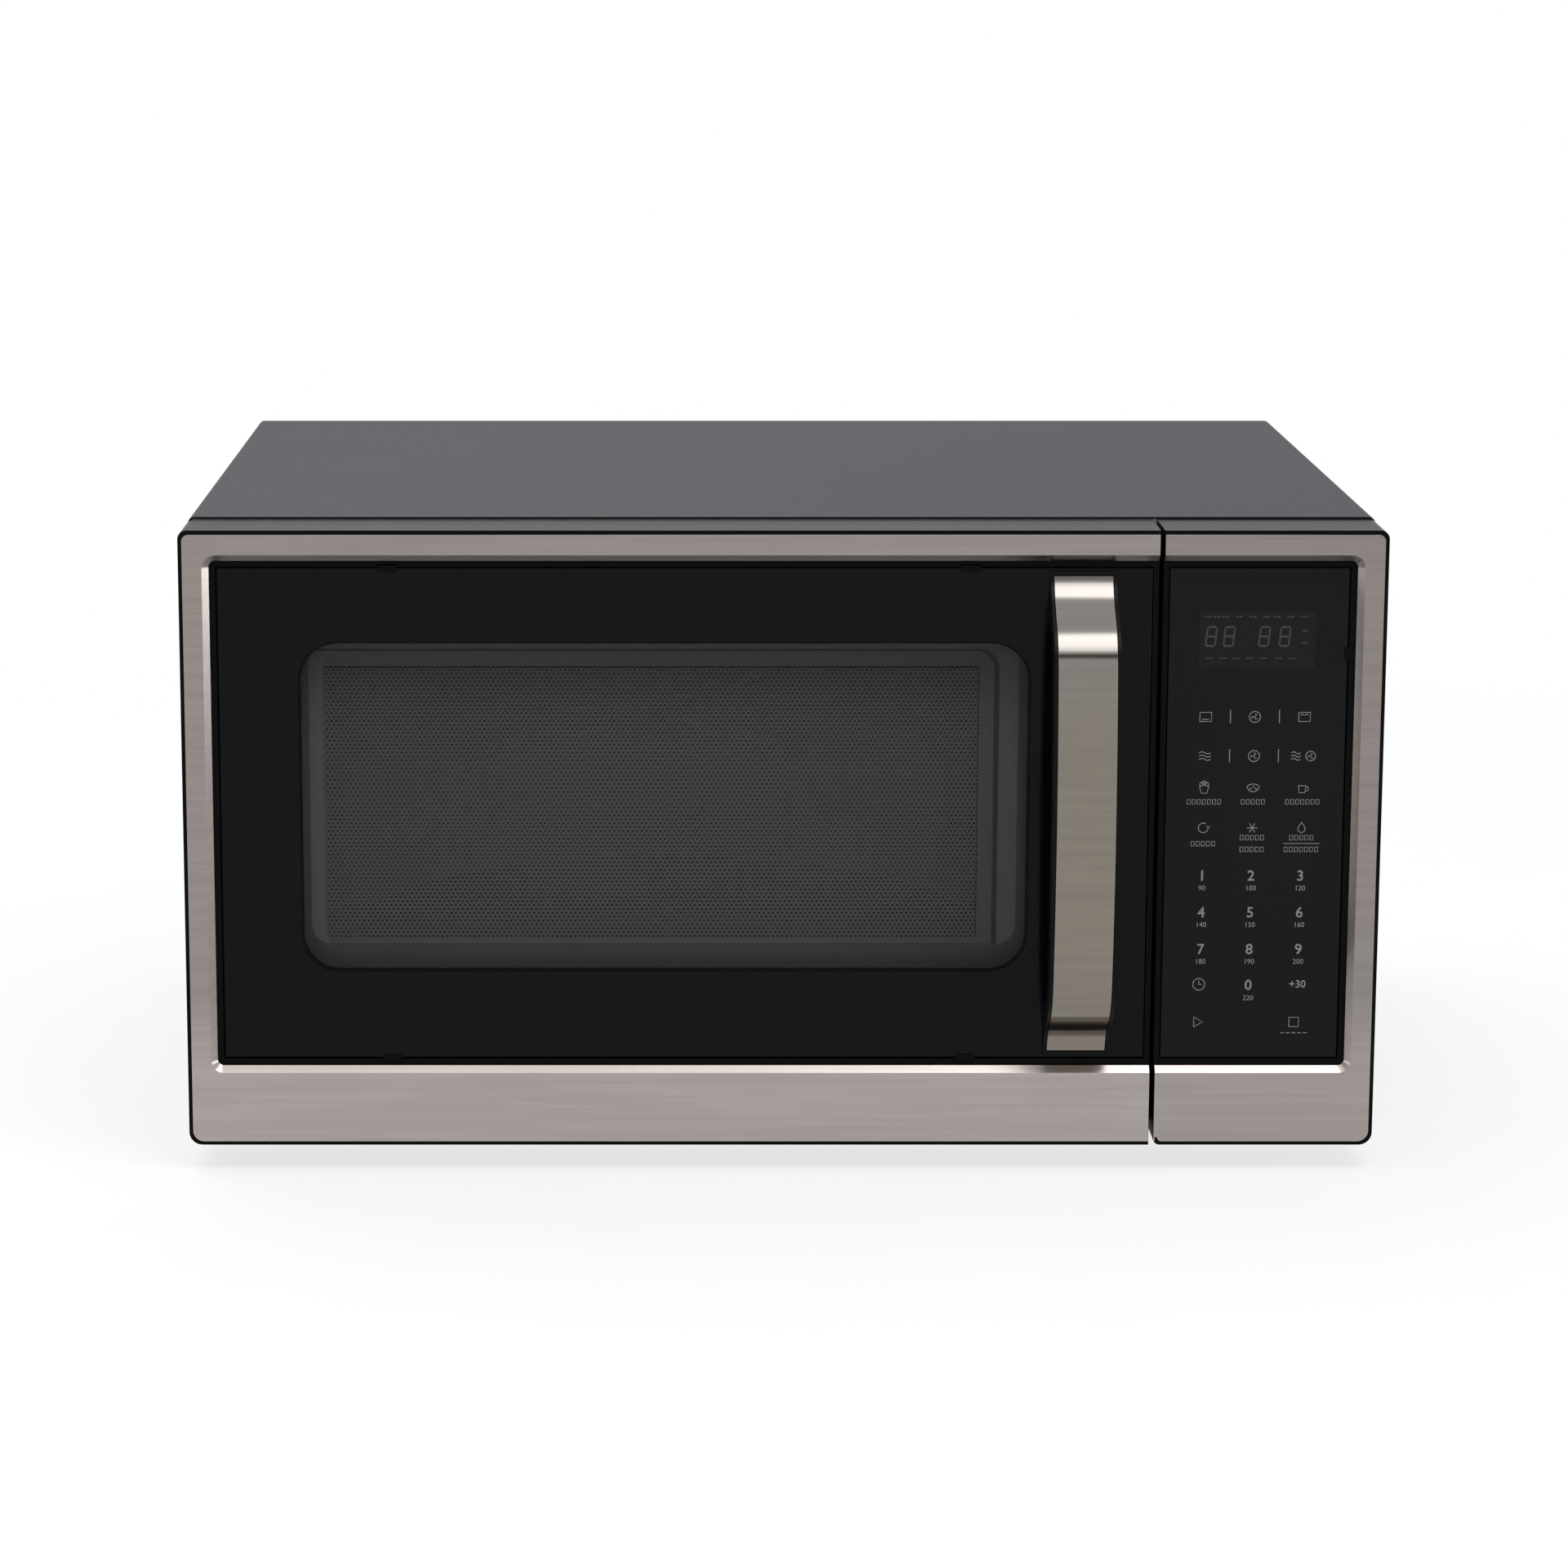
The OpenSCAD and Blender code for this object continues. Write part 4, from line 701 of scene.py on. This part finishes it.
SOFTENED = [
    ("outer_cover", "folded_cover", 0.00015),
    ("door_frame", "door_moulding", 0.0004),
    ("control_housing", "panel_moulding", 0.0004),
    ("door_trim", "door_steel_trim", 0.00012),
    ("control_trim", "panel_steel_trim", 0.00012),
    ("door_glass", "front_pane", 0.0003),
    ("touch_panel", "key_film", 0.0002),
    ("handle_grip", "bow_grip", 0.0003),
    ("handle_strap", "bow_strap", 0.00015),
    ("choke_cover", "choke_frame", 0.0002),
    ("feet", "rubber_feet", 0.0004),
    ("glass_turntable", "turntable_plate", 0.0),
    ("display_lens", "display_window", 0.0001),
    ("case_screws", "pan_head_screws", 0.0009),
    ("cord_gland", "cord_inlet", 0.0004),
    ("hinge_brackets", "hinge_leaves", 0.0002),
]
softened = {node: soften(node, name, radius) for node, name, radius in SOFTENED}
for node, piece in softened.items():
    print(piece.name, "faces:", len(piece.data.polygons))

# %% [markdown]
# ## Cross recesses in the screw heads
# The rear screws are pan heads with a cross recess. Each recess is cut with two crossed bars, which
# is what the real punch leaves, and the flat middle of each head says where a cross goes. That
# middle is the only large face near the top that looks straight back.

# %% Cross recesses
CROSS_LONG, CROSS_WIDE, CROSS_DEEP = 0.0044, 0.0009, 0.0012
LOOKS_BACK, TOP_WITHIN, LEAST_AREA = 0.9, 0.0002, 1e-5


def cut_through(piece, cutter):
    """Takes the cutter's space out of the piece."""
    hold(piece)
    cut = piece.modifiers.new("cut", "BOOLEAN")
    cut.operation = "DIFFERENCE"
    cut.object = cutter
    cut.solver = "EXACT"
    bpy.ops.object.modifier_apply(modifier="cut")
    bpy.data.objects.remove(cutter, do_unlink=True)


screws = softened["case_screws"]
screw_top = max(corner[1] for corner in screws.bound_box)
lowest = screw_top - TOP_WITHIN
head_centres = [
    face.center.copy() for face in screws.data.polygons
    if face.normal.y > LOOKS_BACK and face.center.y > lowest and face.area > LEAST_AREA
]
for centre in head_centres:
    for wide, high in ((CROSS_LONG, CROSS_WIDE), (CROSS_WIDE, CROSS_LONG)):
        bpy.ops.mesh.primitive_cube_add(size=1, location=(centre.x, screw_top, centre.z))
        bar = bpy.context.object
        bar.scale = (wide, 2 * CROSS_DEEP, high)
        settle(bar)
        cut_through(screws, bar)
print("screw heads:", len(head_centres), "faces:", len(screws.data.polygons))

# %% [markdown]
# ## The black print on the front pane
# Behind the pane, ink hides the plastic frame and leaves a clear window with round corners. It
# is modelled as the thin layer it is: a plate almost as large as the pane with a rounded window cut
# out, a few hundredths of a millimetre thick, just inside the rear face of the glass.

# %% Ink layer
INK = 0.00004
INSET = 0.0004
ROUND_STEPS = 10
BEFORE = 0.001
pane_low, pane_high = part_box("door_glass")


def upright_plate(name, left, right, low, high, y):
    """A flat face in the front plane, turned towards the viewer."""
    bpy.ops.mesh.primitive_plane_add(
        size=1,
        location=((left + right) / 2, y, (low + high) / 2),
        rotation=(math.radians(90), 0, 0),
    )
    piece = bpy.context.object
    piece.name = name
    piece.scale = (right - left, high - low, 1)
    settle(piece)
    return piece


def rounded_plate(name, left, right, low, high, radius, y):
    """The same with round corners."""
    piece = upright_plate(name, left, right, low, high, y)
    edit(piece, "VERT")
    bpy.ops.mesh.select_all(action="SELECT")
    bpy.ops.mesh.bevel(offset=radius, segments=ROUND_STEPS, affect="VERTICES")
    done()
    return piece


def thicken(piece, depth):
    """Pulls a flat face backwards into a plate."""
    hold(piece)
    wall = piece.modifiers.new("wall", "SOLIDIFY")
    wall.thickness = depth
    wall.offset = -1
    bpy.ops.object.modifier_apply(modifier="wall")


ink_face = glass_rear - 2 * INK
ink = upright_plate(
    "window_print", pane_low.x + INSET, pane_high.x - INSET, pane_low.z + INSET,
    pane_high.z - INSET, ink_face,
)
thicken(ink, INK)
opening = rounded_plate("opening", *WINDOW, WINDOW_ROUND, ink_face - BEFORE)
thicken(opening, 2 * BEFORE)
cut_through(ink, opening)
coat(ink, print_black)
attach(ink, "door")
print("ink layer faces:", len(ink.data.polygons))

# %% [markdown]
# ## Clips that hold the panes
# Small tongues of the mouldings reach over the edges of the glass, two above and two below on
# the door, and one at the side of the touch panel. Each is a thin bar with rounded edges.

# %% Glass clips
CLIP_LONG, CLIP_DEEP, CLIP_OVER, CLIP_EDGE = 0.0086, 0.0008, 0.0015, 0.0003
DOOR_CLIPS = (-0.177, 0.084)
KEY_CLIP_LONG, KEY_CLIP_IN, KEY_CLIP_UP = 0.006, 0.0003, 0.239
key_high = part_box("touch_panel")[1]


def clip(name, x, z, upright, body, long=CLIP_LONG):
    """A bar that lies over the edge of a pane, along it or upright beside it."""
    bpy.ops.mesh.primitive_cube_add(size=1, location=(x, pane_low.y - CLIP_DEEP / 2, z))
    piece = bpy.context.object
    piece.name = name
    short = 2 * CLIP_OVER
    piece.scale = (short, CLIP_DEEP, long) if upright else (long, CLIP_DEEP, short)
    settle(piece)
    edit(piece, "EDGE")
    bpy.ops.mesh.select_all(action="SELECT")
    bpy.ops.mesh.bevel(offset=CLIP_EDGE, segments=2)
    done()
    coat(piece, bezel_black)
    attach(piece, body)
    print(name, "faces:", len(piece.data.polygons))


for index, x in enumerate(DOOR_CLIPS):
    clip("clip_above_%d" % index, x, pane_high.z, False, "door")
    clip("clip_below_%d" % index, x, pane_low.z, False, "door")
clip(
    "clip_beside_keys", key_high.x + KEY_CLIP_IN, KEY_CLIP_UP, True, "chassis", long=KEY_CLIP_LONG
)

# %% [markdown]
# ## Painted shade round the window
# Inside the clear window a darker border runs round the steel panel's window, widest at the
# bottom. It is painted shade: the panel stays the CAD solid it is, and a thin darker frame with
# round inner corners on its front face makes the border. A narrow dark line at the right and top
# of the opening is a painted shadow of its edge. It is a second frame, and its cutter runs out at
# the left and below, so those two sides go away.

# %% Painted shade round the window
SHADE_FRAME_DEEP, EDGE_SHADOW_DEEP = 0.0004, 0.0003
SHADE_FRAME_OVER, SHADE_FRAME_OVER_BELOW = 0.006, 0.008
SHADE_FRAME_OPENING = (-0.2141, 0.1072, 0.1014, 0.2412)
EDGE_SHADOW_OUTSIDE = (-0.240, 0.0985, 0.080, 0.2381)
EDGE_SHADOW_OPENING = (-0.250, 0.0964, 0.070, 0.2373)
INNER_ROUND = 0.009
THROUGH = 0.003
panel_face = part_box("door_panel")[0].y
window_left, window_right, window_low, window_high = WINDOW
# A thin darker frame inside the window: painted shade.
shade_frame = upright_plate(
    "window_painted_shade", window_left - SHADE_FRAME_OVER, window_right + SHADE_FRAME_OVER,
    window_low - SHADE_FRAME_OVER_BELOW, window_high + SHADE_FRAME_OVER, panel_face - SHADE_FRAME_DEEP,
)
thicken(shade_frame, SHADE_FRAME_DEEP)
opening = rounded_plate("opening", *SHADE_FRAME_OPENING, INNER_ROUND, panel_face - BEFORE)
thicken(opening, THROUGH)
cut_through(shade_frame, opening)
coat(shade_frame, painted_shade_enamel)
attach(shade_frame, "door")

# A narrow dark frame at the opening's right and top: painted shadow.
painted_edge_shadow = rounded_plate("window_edge_shadow", *EDGE_SHADOW_OUTSIDE, INNER_ROUND, panel_face - EDGE_SHADOW_DEEP)
thicken(painted_edge_shadow, EDGE_SHADOW_DEEP)
opening = rounded_plate("opening", *EDGE_SHADOW_OPENING, INNER_ROUND, panel_face - BEFORE)
thicken(opening, THROUGH)
cut_through(painted_edge_shadow, opening)
coat(painted_edge_shadow, edge_shadow_enamel)
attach(painted_edge_shadow, "door")
print("window step, faces:", len(shade_frame.data.polygons), len(painted_edge_shadow.data.polygons))

# %% [markdown]
# ## The perforated screen
# Microwaves can't pass a hole much smaller than their wave, so the window is backed by sheet with
# thousands of small holes. It could be a picture on a plate, but seen aslant the holes must close
# up, so they are real. One six-sided cell is drawn, a flat rim round a hole. Three arrays repeat
# it, along a row, for the next row half a step aside, and upwards, and the sheet then gets its
# thickness, which closes its back and walls every hole. A plain margin covers the ragged rim.

# %% One cell, repeated
PITCH = 0.0021
ROW = PITCH * math.sqrt(3) / 2
RIM = 0.00062
JOINS_WITHIN = 0.00001


def repeat(piece, count, offset):
    """The piece again and again, sewn together where copies touch."""
    hold(piece)
    row = piece.modifiers.new("row", "ARRAY")
    row.count = count
    row.use_relative_offset = False
    row.use_constant_offset = True
    row.constant_offset_displace = offset
    row.use_merge_vertices = True
    row.merge_threshold = JOINS_WITHIN
    bpy.ops.object.modifier_apply(modifier="row")


def perforated(name, left, right, low, high, front_y, depth):
    """A sheet of six-sided holes, with a ragged rim."""
    bpy.ops.mesh.primitive_circle_add(
        vertices=6, radius=PITCH / math.sqrt(3), fill_type="NGON",
        location=(left, front_y, low), rotation=(math.radians(90), 0, 0),
    )
    piece = bpy.context.object
    piece.name = name
    settle(piece)
    edit(piece)
    bpy.ops.mesh.select_all(action="SELECT")
    bpy.ops.mesh.inset(thickness=RIM)
    bpy.ops.mesh.delete(type="FACE")
    done()
    repeat(piece, round((right - left) / PITCH), (PITCH, 0, 0))
    repeat(piece, 2, (PITCH / 2, 0, ROW))
    repeat(piece, round((high - low) / ROW / 2), (0, 0, 2 * ROW))
    thicken(piece, depth)
    return piece


print("holes are", PITCH, "apart, rows", round(ROW, 6))

# %% [markdown]
# ## The screen and its margin
# The field of holes has too many faces for one piece, so it is made in two halves that meet at a
# whole number of holes. The holed sheets are a little thinner than the margin and sunk into it, so
# that no two faces lie in one plane where it covers their rim.

# %% Screen and margin
FIELD = (-0.2082, 0.0907, 0.1030, 0.2312)
SINK = 0.00008
RIM_COVER = 0.0012
screen_low, screen_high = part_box("door_screen")
screen_deep = screen_high.y - screen_low.y
left, right, low, high = FIELD
halfway = left + PITCH * round((right - left) / PITCH / 2)
halves = [("screen_left_half", left, halfway), ("screen_right_half", halfway, right)]
screen_parts = [
    perforated(name, start, end, low, high, screen_low.y + SINK, screen_deep - 2 * SINK)
    for name, start, end in halves
]
margin = upright_plate(
    "screen_margin", screen_low.x, screen_high.x, screen_low.z, screen_high.z, screen_low.y
)
thicken(margin, screen_deep)
opening = upright_plate(
    "opening", left + RIM_COVER, right - RIM_COVER, low + RIM_COVER, high - RIM_COVER,
    screen_low.y - BEFORE,
)
thicken(opening, THROUGH)
cut_through(margin, opening)
screen_parts.append(margin)
for piece in screen_parts:
    coat(piece, screen_enamel)
    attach(piece, "door")
    print(piece.name, "faces:", len(piece.data.polygons))
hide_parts("door_screen")

# %% [markdown]
# ## Marks on the touch panel
# The keys are printed, with no edges to feel: ten numbers, small signs for the programmes and
# short dashes. Each sign is a bent line of even width, as on a technical drawing. A line is
# drawn as a curve with a round section, made a mesh, and pressed flat. Places on the panel are in
# millimetres, across from the oven's middle and down from the top edge of the front.

# %% Lines pressed flat
PRESSED = 0.02
key_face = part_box("touch_panel")[0].y


def spot(x, down, sideways=0.0, up=0.0):
    """A point on the panel, and how far it stands to the side and above that."""
    return ((x + sideways) * MM, 0.0, front_top - (down - up) * MM)


def lines(name, strokes, width):
    """One mesh of all strokes, each a list of points in the front plane."""
    curve = bpy.data.curves.new(name, "CURVE")
    curve.dimensions = "3D"
    curve.bevel_depth = width * MM / 2
    curve.bevel_resolution = 1
    curve.use_fill_caps = True
    for points in strokes:
        spline = curve.splines.new("POLY")
        spline.points.add(len(points) - 1)
        for target, (x, y, z) in zip(spline.points, points):
            target.co = (x, y, z, 1)
    piece = bpy.data.objects.new(name, curve)
    bpy.context.scene.collection.objects.link(piece)
    hold(piece)
    bpy.ops.object.convert(target="MESH")
    piece.scale = (1, PRESSED, 1)
    piece.location = (0, key_face, 0)
    settle(piece)
    print(name, "strokes:", len(strokes), "faces:", len(piece.data.polygons))
    return piece


print("key face at", round(key_face, 5))

# %% [markdown]
# ## Strokes
# A few kinds of stroke make every sign: a bent line through given points, an arc, a wave, a row of
# dashes, and a row of small boxes, which stand where a caption would be.

# %% Strokes


def polar(radius, turn):
    """Across and up, from a radius and an angle counted from the right."""
    return radius * math.cos(math.radians(turn)), radius * math.sin(math.radians(turn))


def path_at(x, down, points):
    return [spot(x, down, sideways, up) for sideways, up in points]


def closed_at(x, down, points):
    return path_at(x, down, [*points, points[0]])


def ring(x, down, radius, start=0, end=360, sides=20):
    turns = [start + (end - start) * i / sides for i in range(sides + 1)]
    return path_at(x, down, [polar(radius, turn) for turn in turns])


def wave(x, down, long, high):
    shares = [i / 12 for i in range(13)]
    return path_at(
        x, down, [(long * (share - 0.5), high * math.sin(2 * math.pi * share)) for share in shares]
    )


def dashes(x, down, count, long=1.5, gap=0.8):
    first = x - (count * long + (count - 1) * gap) / 2
    starts = [first + i * (long + gap) for i in range(count)]
    return [[spot(start, down), spot(start + long, down)] for start in starts]


def boxes(x, down, count):
    """Box after box, each as wide as a dash and somewhat higher."""
    long, high, gap = 1.4, 2.1, 0.9
    first = x - (count * long + (count - 1) * gap) / 2
    corners = [(0, -high / 2), (long, -high / 2), (long, high / 2), (0, high / 2)]
    return [closed_at(first + i * (long + gap), down, corners) for i in range(count)]


print("strokes in a row of three boxes:", len(boxes(0, 0, 3)))

# %% [markdown]
# ## Signs of the ways to heat
# The first two rows hold the ways to heat: from below, with hot air and with the grill, then with
# microwaves, with hot air and with both. Short upright lines stand between the columns.

# %% Ways to heat
LEFT, MIDDLE, RIGHT = 190.2, 212.3, 234.6
BETWEEN = (201.3, 223.3)
HEAT_ROW, MIXED_ROW, MEAL_ROW, HELP_ROW = 85.0, 102.9, 117.5, 135.9


def chamber(x, down):
    """The oven's inside as a box."""
    return closed_at(x, down, [(-2.6, -2.08), (2.6, -2.08), (2.6, 2.08), (-2.6, 2.08)])


def fan(x, down, radius=2.5):
    """A ring with three bent blades."""
    blades = [
        path_at(x, down, [(0, 0), polar(radius * 0.5, turn - 40), polar(radius * 0.62, turn)])
        for turn in (90, 210, 330)
    ]
    return [ring(x, down, radius), *blades]


def waves(x, down, long=5.2):
    """Three waves, one above the other."""
    return [wave(x, down + shift, long, 0.45) for shift in (-1.5, 0, 1.5)]


programmes = [
    path_at(x, down, [(0, 3.2), (0, -2.8)]) for down in (HEAT_ROW, MIXED_ROW) for x in BETWEEN
]
heat_below = [(-1.5, -1.1), (1.5, -1.1)]
programmes += [chamber(LEFT, HEAT_ROW), path_at(LEFT, HEAT_ROW, heat_below)]
programmes += fan(MIDDLE, HEAT_ROW)
grill_above = [(-1.7, 0.7), (-0.85, 1.4), (0, 0.7), (0.85, 1.4), (1.7, 0.7)]
programmes += [chamber(RIGHT, HEAT_ROW), path_at(RIGHT, HEAT_ROW, grill_above)]
programmes += waves(LEFT, MIXED_ROW)
programmes += fan(MIDDLE, MIXED_ROW)
programmes += waves(RIGHT - 3.4, MIXED_ROW, 4.2) + fan(RIGHT + 3.2, MIXED_ROW, 2.2)
print("strokes for the ways to heat:", len(programmes))

# %% [markdown]
# ## Signs of the programmes
# The next row shows three meals: a tub of popcorn, a potato and a cup. The last row shows three
# helps: an arrow that turns round for warming up, a frost star for thawing and a drop for steam.

# %% Meals and helps
tub = [(-2.1, 1.0), (-1.3, -2.4), (1.3, -2.4), (2.1, 1.0)]
programmes.append(path_at(LEFT, MEAL_ROW, tub))
for side, rise in ((-1.1, 1.7), (0, 2.3), (1.1, 1.7)):
    programmes.append(ring(LEFT + side, MEAL_ROW - rise, 0.9, sides=10))

turns = [math.radians(turn) for turn in range(0, 361, 20)]
potato = [(2.6 * math.cos(a) + 0.3 * math.sin(2 * a), 1.8 * math.sin(a)) for a in turns]
programmes.append(path_at(MIDDLE, MEAL_ROW, potato))
for side, drop in ((-1, 0.3), (0.2, -0.6), (1.2, 0.4)):
    programmes.append(ring(MIDDLE + side, MEAL_ROW + drop, 0.25, sides=6))

cup = [(-2.0, 1.0), (-1.5, -2.2), (1.0, -2.2), (1.5, 1.0)]
programmes.append(closed_at(RIGHT, MEAL_ROW, cup))
programmes.append(ring(RIGHT + 1.6, MEAL_ROW + 0.4, 1.0, -100, 90, 10))

programmes.append(ring(LEFT, HELP_ROW, 2.2, 60, 360))
programmes.append(path_at(LEFT, HELP_ROW, [(3.0, 0.9), (2.2, 0), (1.4, 0.9)]))
for turn in (0, 60, 120):
    across, up = polar(2.4, turn)
    programmes.append(path_at(MIDDLE, HELP_ROW, [(-across, -up), (across, up)]))
water_drop = [(0, 2.6), (-1.6, 0.1), (-1.5, -1.4), (0, -2.3), (1.5, -1.4), (1.6, 0.1)]
programmes.append(closed_at(RIGHT, HELP_ROW, water_drop))
marks = [lines("programme_signs", programmes, 0.42)]

# %% [markdown]
# ## Captions
# Words would name a maker's programmes, so a row of small boxes stands where each caption is. A
# long line parts the two captions at the lower right.

# %% Caption boxes
CAPTIONS = [
    (LEFT, 123.9, 7), (MIDDLE, 123.9, 5), (RIGHT, 123.9, 7),
    (LEFT, 143.2, 5), (MIDDLE, 140.4, 5), (MIDDLE, 145.8, 5),
    (RIGHT, 140.4, 5), (RIGHT, 145.8, 7),
]
captions = [box for x, down, count in CAPTIONS for box in boxes(x, down, count)]
captions.append(path_at(RIGHT, 143.1, [(-8.2, 0), (8.2, 0)]))
marks.append(lines("caption_boxes", captions, 0.36))

# %% [markdown]
# ## Numbers
# Figures could be drawn as strokes too, but plain letters of even weight come with Blender. They
# are set as text, made a flat mesh and turned upright. Capitals and figures are about seven tenths
# of a letter's full size, so the size follows from the height that is wanted.

# %% Numbers on the keys
FIGURE_SHARE = 0.7
INK_THICK = 0.00001
DIGIT_HIGH, PLUS_HIGH, HEAT_HIGH = 4.7, 3.4, 2.3
DIGIT_ROWS = [(158.2, "1 2 3"), (175.2, "4 5 6"), (192.3, "7 8 9")]
HEAT_ROWS = [(163.8, "90 100 120"), (180.8, "140 150 160"), (197.9, "180 190 200")]


def number(text, x, down, height, weight=0.02):
    """Plain figures as flat mesh. weight makes their lines fatter."""
    bpy.ops.object.text_add(location=(x * MM, key_face, front_top - down * MM))
    piece = bpy.context.object
    piece.data.body = text
    piece.data.size = height * MM / FIGURE_SHARE
    piece.data.align_x = "CENTER"
    piece.data.align_y = "CENTER"
    piece.data.offset = weight * height * MM
    piece.data.extrude = INK_THICK
    piece.data.resolution_u = 4
    piece.rotation_euler = (math.radians(90), 0, 0)
    hold(piece)
    bpy.ops.object.convert(target="MESH")
    settle(piece)
    return piece


for down, digits in DIGIT_ROWS:
    for digit, x in zip(digits.split(), (LEFT, MIDDLE, RIGHT)):
        marks.append(number(digit, x, down, DIGIT_HIGH))
marks.append(number("0", MIDDLE, 209.0, DIGIT_HIGH))
marks.append(number("+30", RIGHT, 208.5, PLUS_HIGH))
for down, heats in HEAT_ROWS:
    for heat, x in zip(heats.split(), (LEFT, MIDDLE, RIGHT)):
        marks.append(number(heat, x, down, HEAT_HIGH, weight=0.0))
marks.append(number("220", MIDDLE, 214.9, HEAT_HIGH, weight=0.0))
print("marks so far:", len(marks))

# %% [markdown]
# ## Keys below the numbers
# A clock stands beside the nought, and below are the keys that every oven has: a triangle to
# start and a square to stop, with a row of dashes under it. All marks then become one piece.

# %% Clock, start and stop
CLOCK_ROW, START_ROW = 208.5, 226.1
CLOCK_X, START_X, STOP_X = LEFT - 0.4, LEFT - 0.6, RIGHT - 1.2


def as_one(pieces, name, material):
    """Joins the pieces into one of this name and finish."""
    hold(pieces[0])
    for piece in pieces:
        piece.select_set(True)
    bpy.ops.object.join()
    joined = bpy.context.object
    joined.name = name
    coat(joined, material)
    return joined


keys = [ring(CLOCK_X, CLOCK_ROW, 2.7), path_at(CLOCK_X, CLOCK_ROW, [(0, 1.7), (0, 0), (1.3, 0)])]
keys.append(closed_at(START_X, START_ROW, [(-1.7, -2.3), (2.3, 0), (-1.7, 2.3)]))
keys.append(closed_at(STOP_X, START_ROW, [(-2.2, -2.2), (2.2, -2.2), (2.2, 2.2), (-2.2, 2.2)]))
keys += dashes(STOP_X, 231.2, 5, long=1.8)
marks.append(lines("key_signs", keys, 0.45))
key_marks = as_one(marks, "key_marks", key_ink)
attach(key_marks, "chassis")
print("marks on the keys, faces:", len(key_marks.data.polygons))

# %% [markdown]
# ## The display's figures
# Behind the smoked window sit four figures of seven bars each, leaning a little, with rows of
# small signs above and below. They are off, so they only just show. A bar is a stroke between two
# points of a figure that is two wide and four high. Level bars are a little shorter than the
# figure is wide, and upright ones stop short of its top and bottom, which notches its corners.

# %% Seven-bar figures
BARS = [
    ((-1, 2), (1, 2)), ((-1, 0), (1, 0)), ((-1, -2), (1, -2)), ((-1, 0), (-1, 2)),
    ((1, 0), (1, 2)), ((-1, -2), (-1, 0)), ((1, -2), (1, 0)),
]
HALF_WIDE, HALF_HIGH, LEAN = 2.1, 4.3, 0.1
LEVEL_SHARE, UPRIGHT_SHARE = 0.88, 0.94
FIGURES_X, FIGURES_DOWN = (5.6, 13.6, 29.4, 38.6), 11.6
SIGN_ROWS = [(2.6, (4, 8, 12, 18, 24, 30, 35, 41, 47)), (21.5, (5, 11, 17, 23, 29, 36, 42))]
UNIT_X, UNIT_ROWS = 47.5, (9.0, 14.5)
lens_low, lens_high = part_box("display_lens")
display_top = (front_top - lens_high.z) / MM
display_left = lens_low.x / MM


def bar_ends(start, end):
    """Both ends of one bar in millimetres, leaning."""
    level = start[1] == end[1]
    wide = HALF_WIDE * (LEVEL_SHARE if level else 1)
    high = HALF_HIGH * (1 if level else UPRIGHT_SHARE)
    flat = [(across * wide, up / 2 * high) for across, up in (start, end)]
    return [(side + rise * LEAN, rise) for side, rise in flat]


figures = [
    path_at(display_left + x, display_top + FIGURES_DOWN, bar_ends(start, end))
    for x in FIGURES_X for start, end in BARS
]
signs = []
for down, places in SIGN_ROWS:
    for x in places:
        signs += dashes(display_left + x, display_top + down, 2, long=1.3, gap=0.4)
for down in UNIT_ROWS:
    signs += dashes(display_left + UNIT_X, display_top + down, 1, long=2.6)
display_figures = as_one(
    [lines("figures", figures, 1.05), lines("display_signs", signs, 0.7)],
    "display_figures", digit_ink,
)
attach(display_figures, "chassis")
print("display, faces:", len(display_figures.data.polygons))
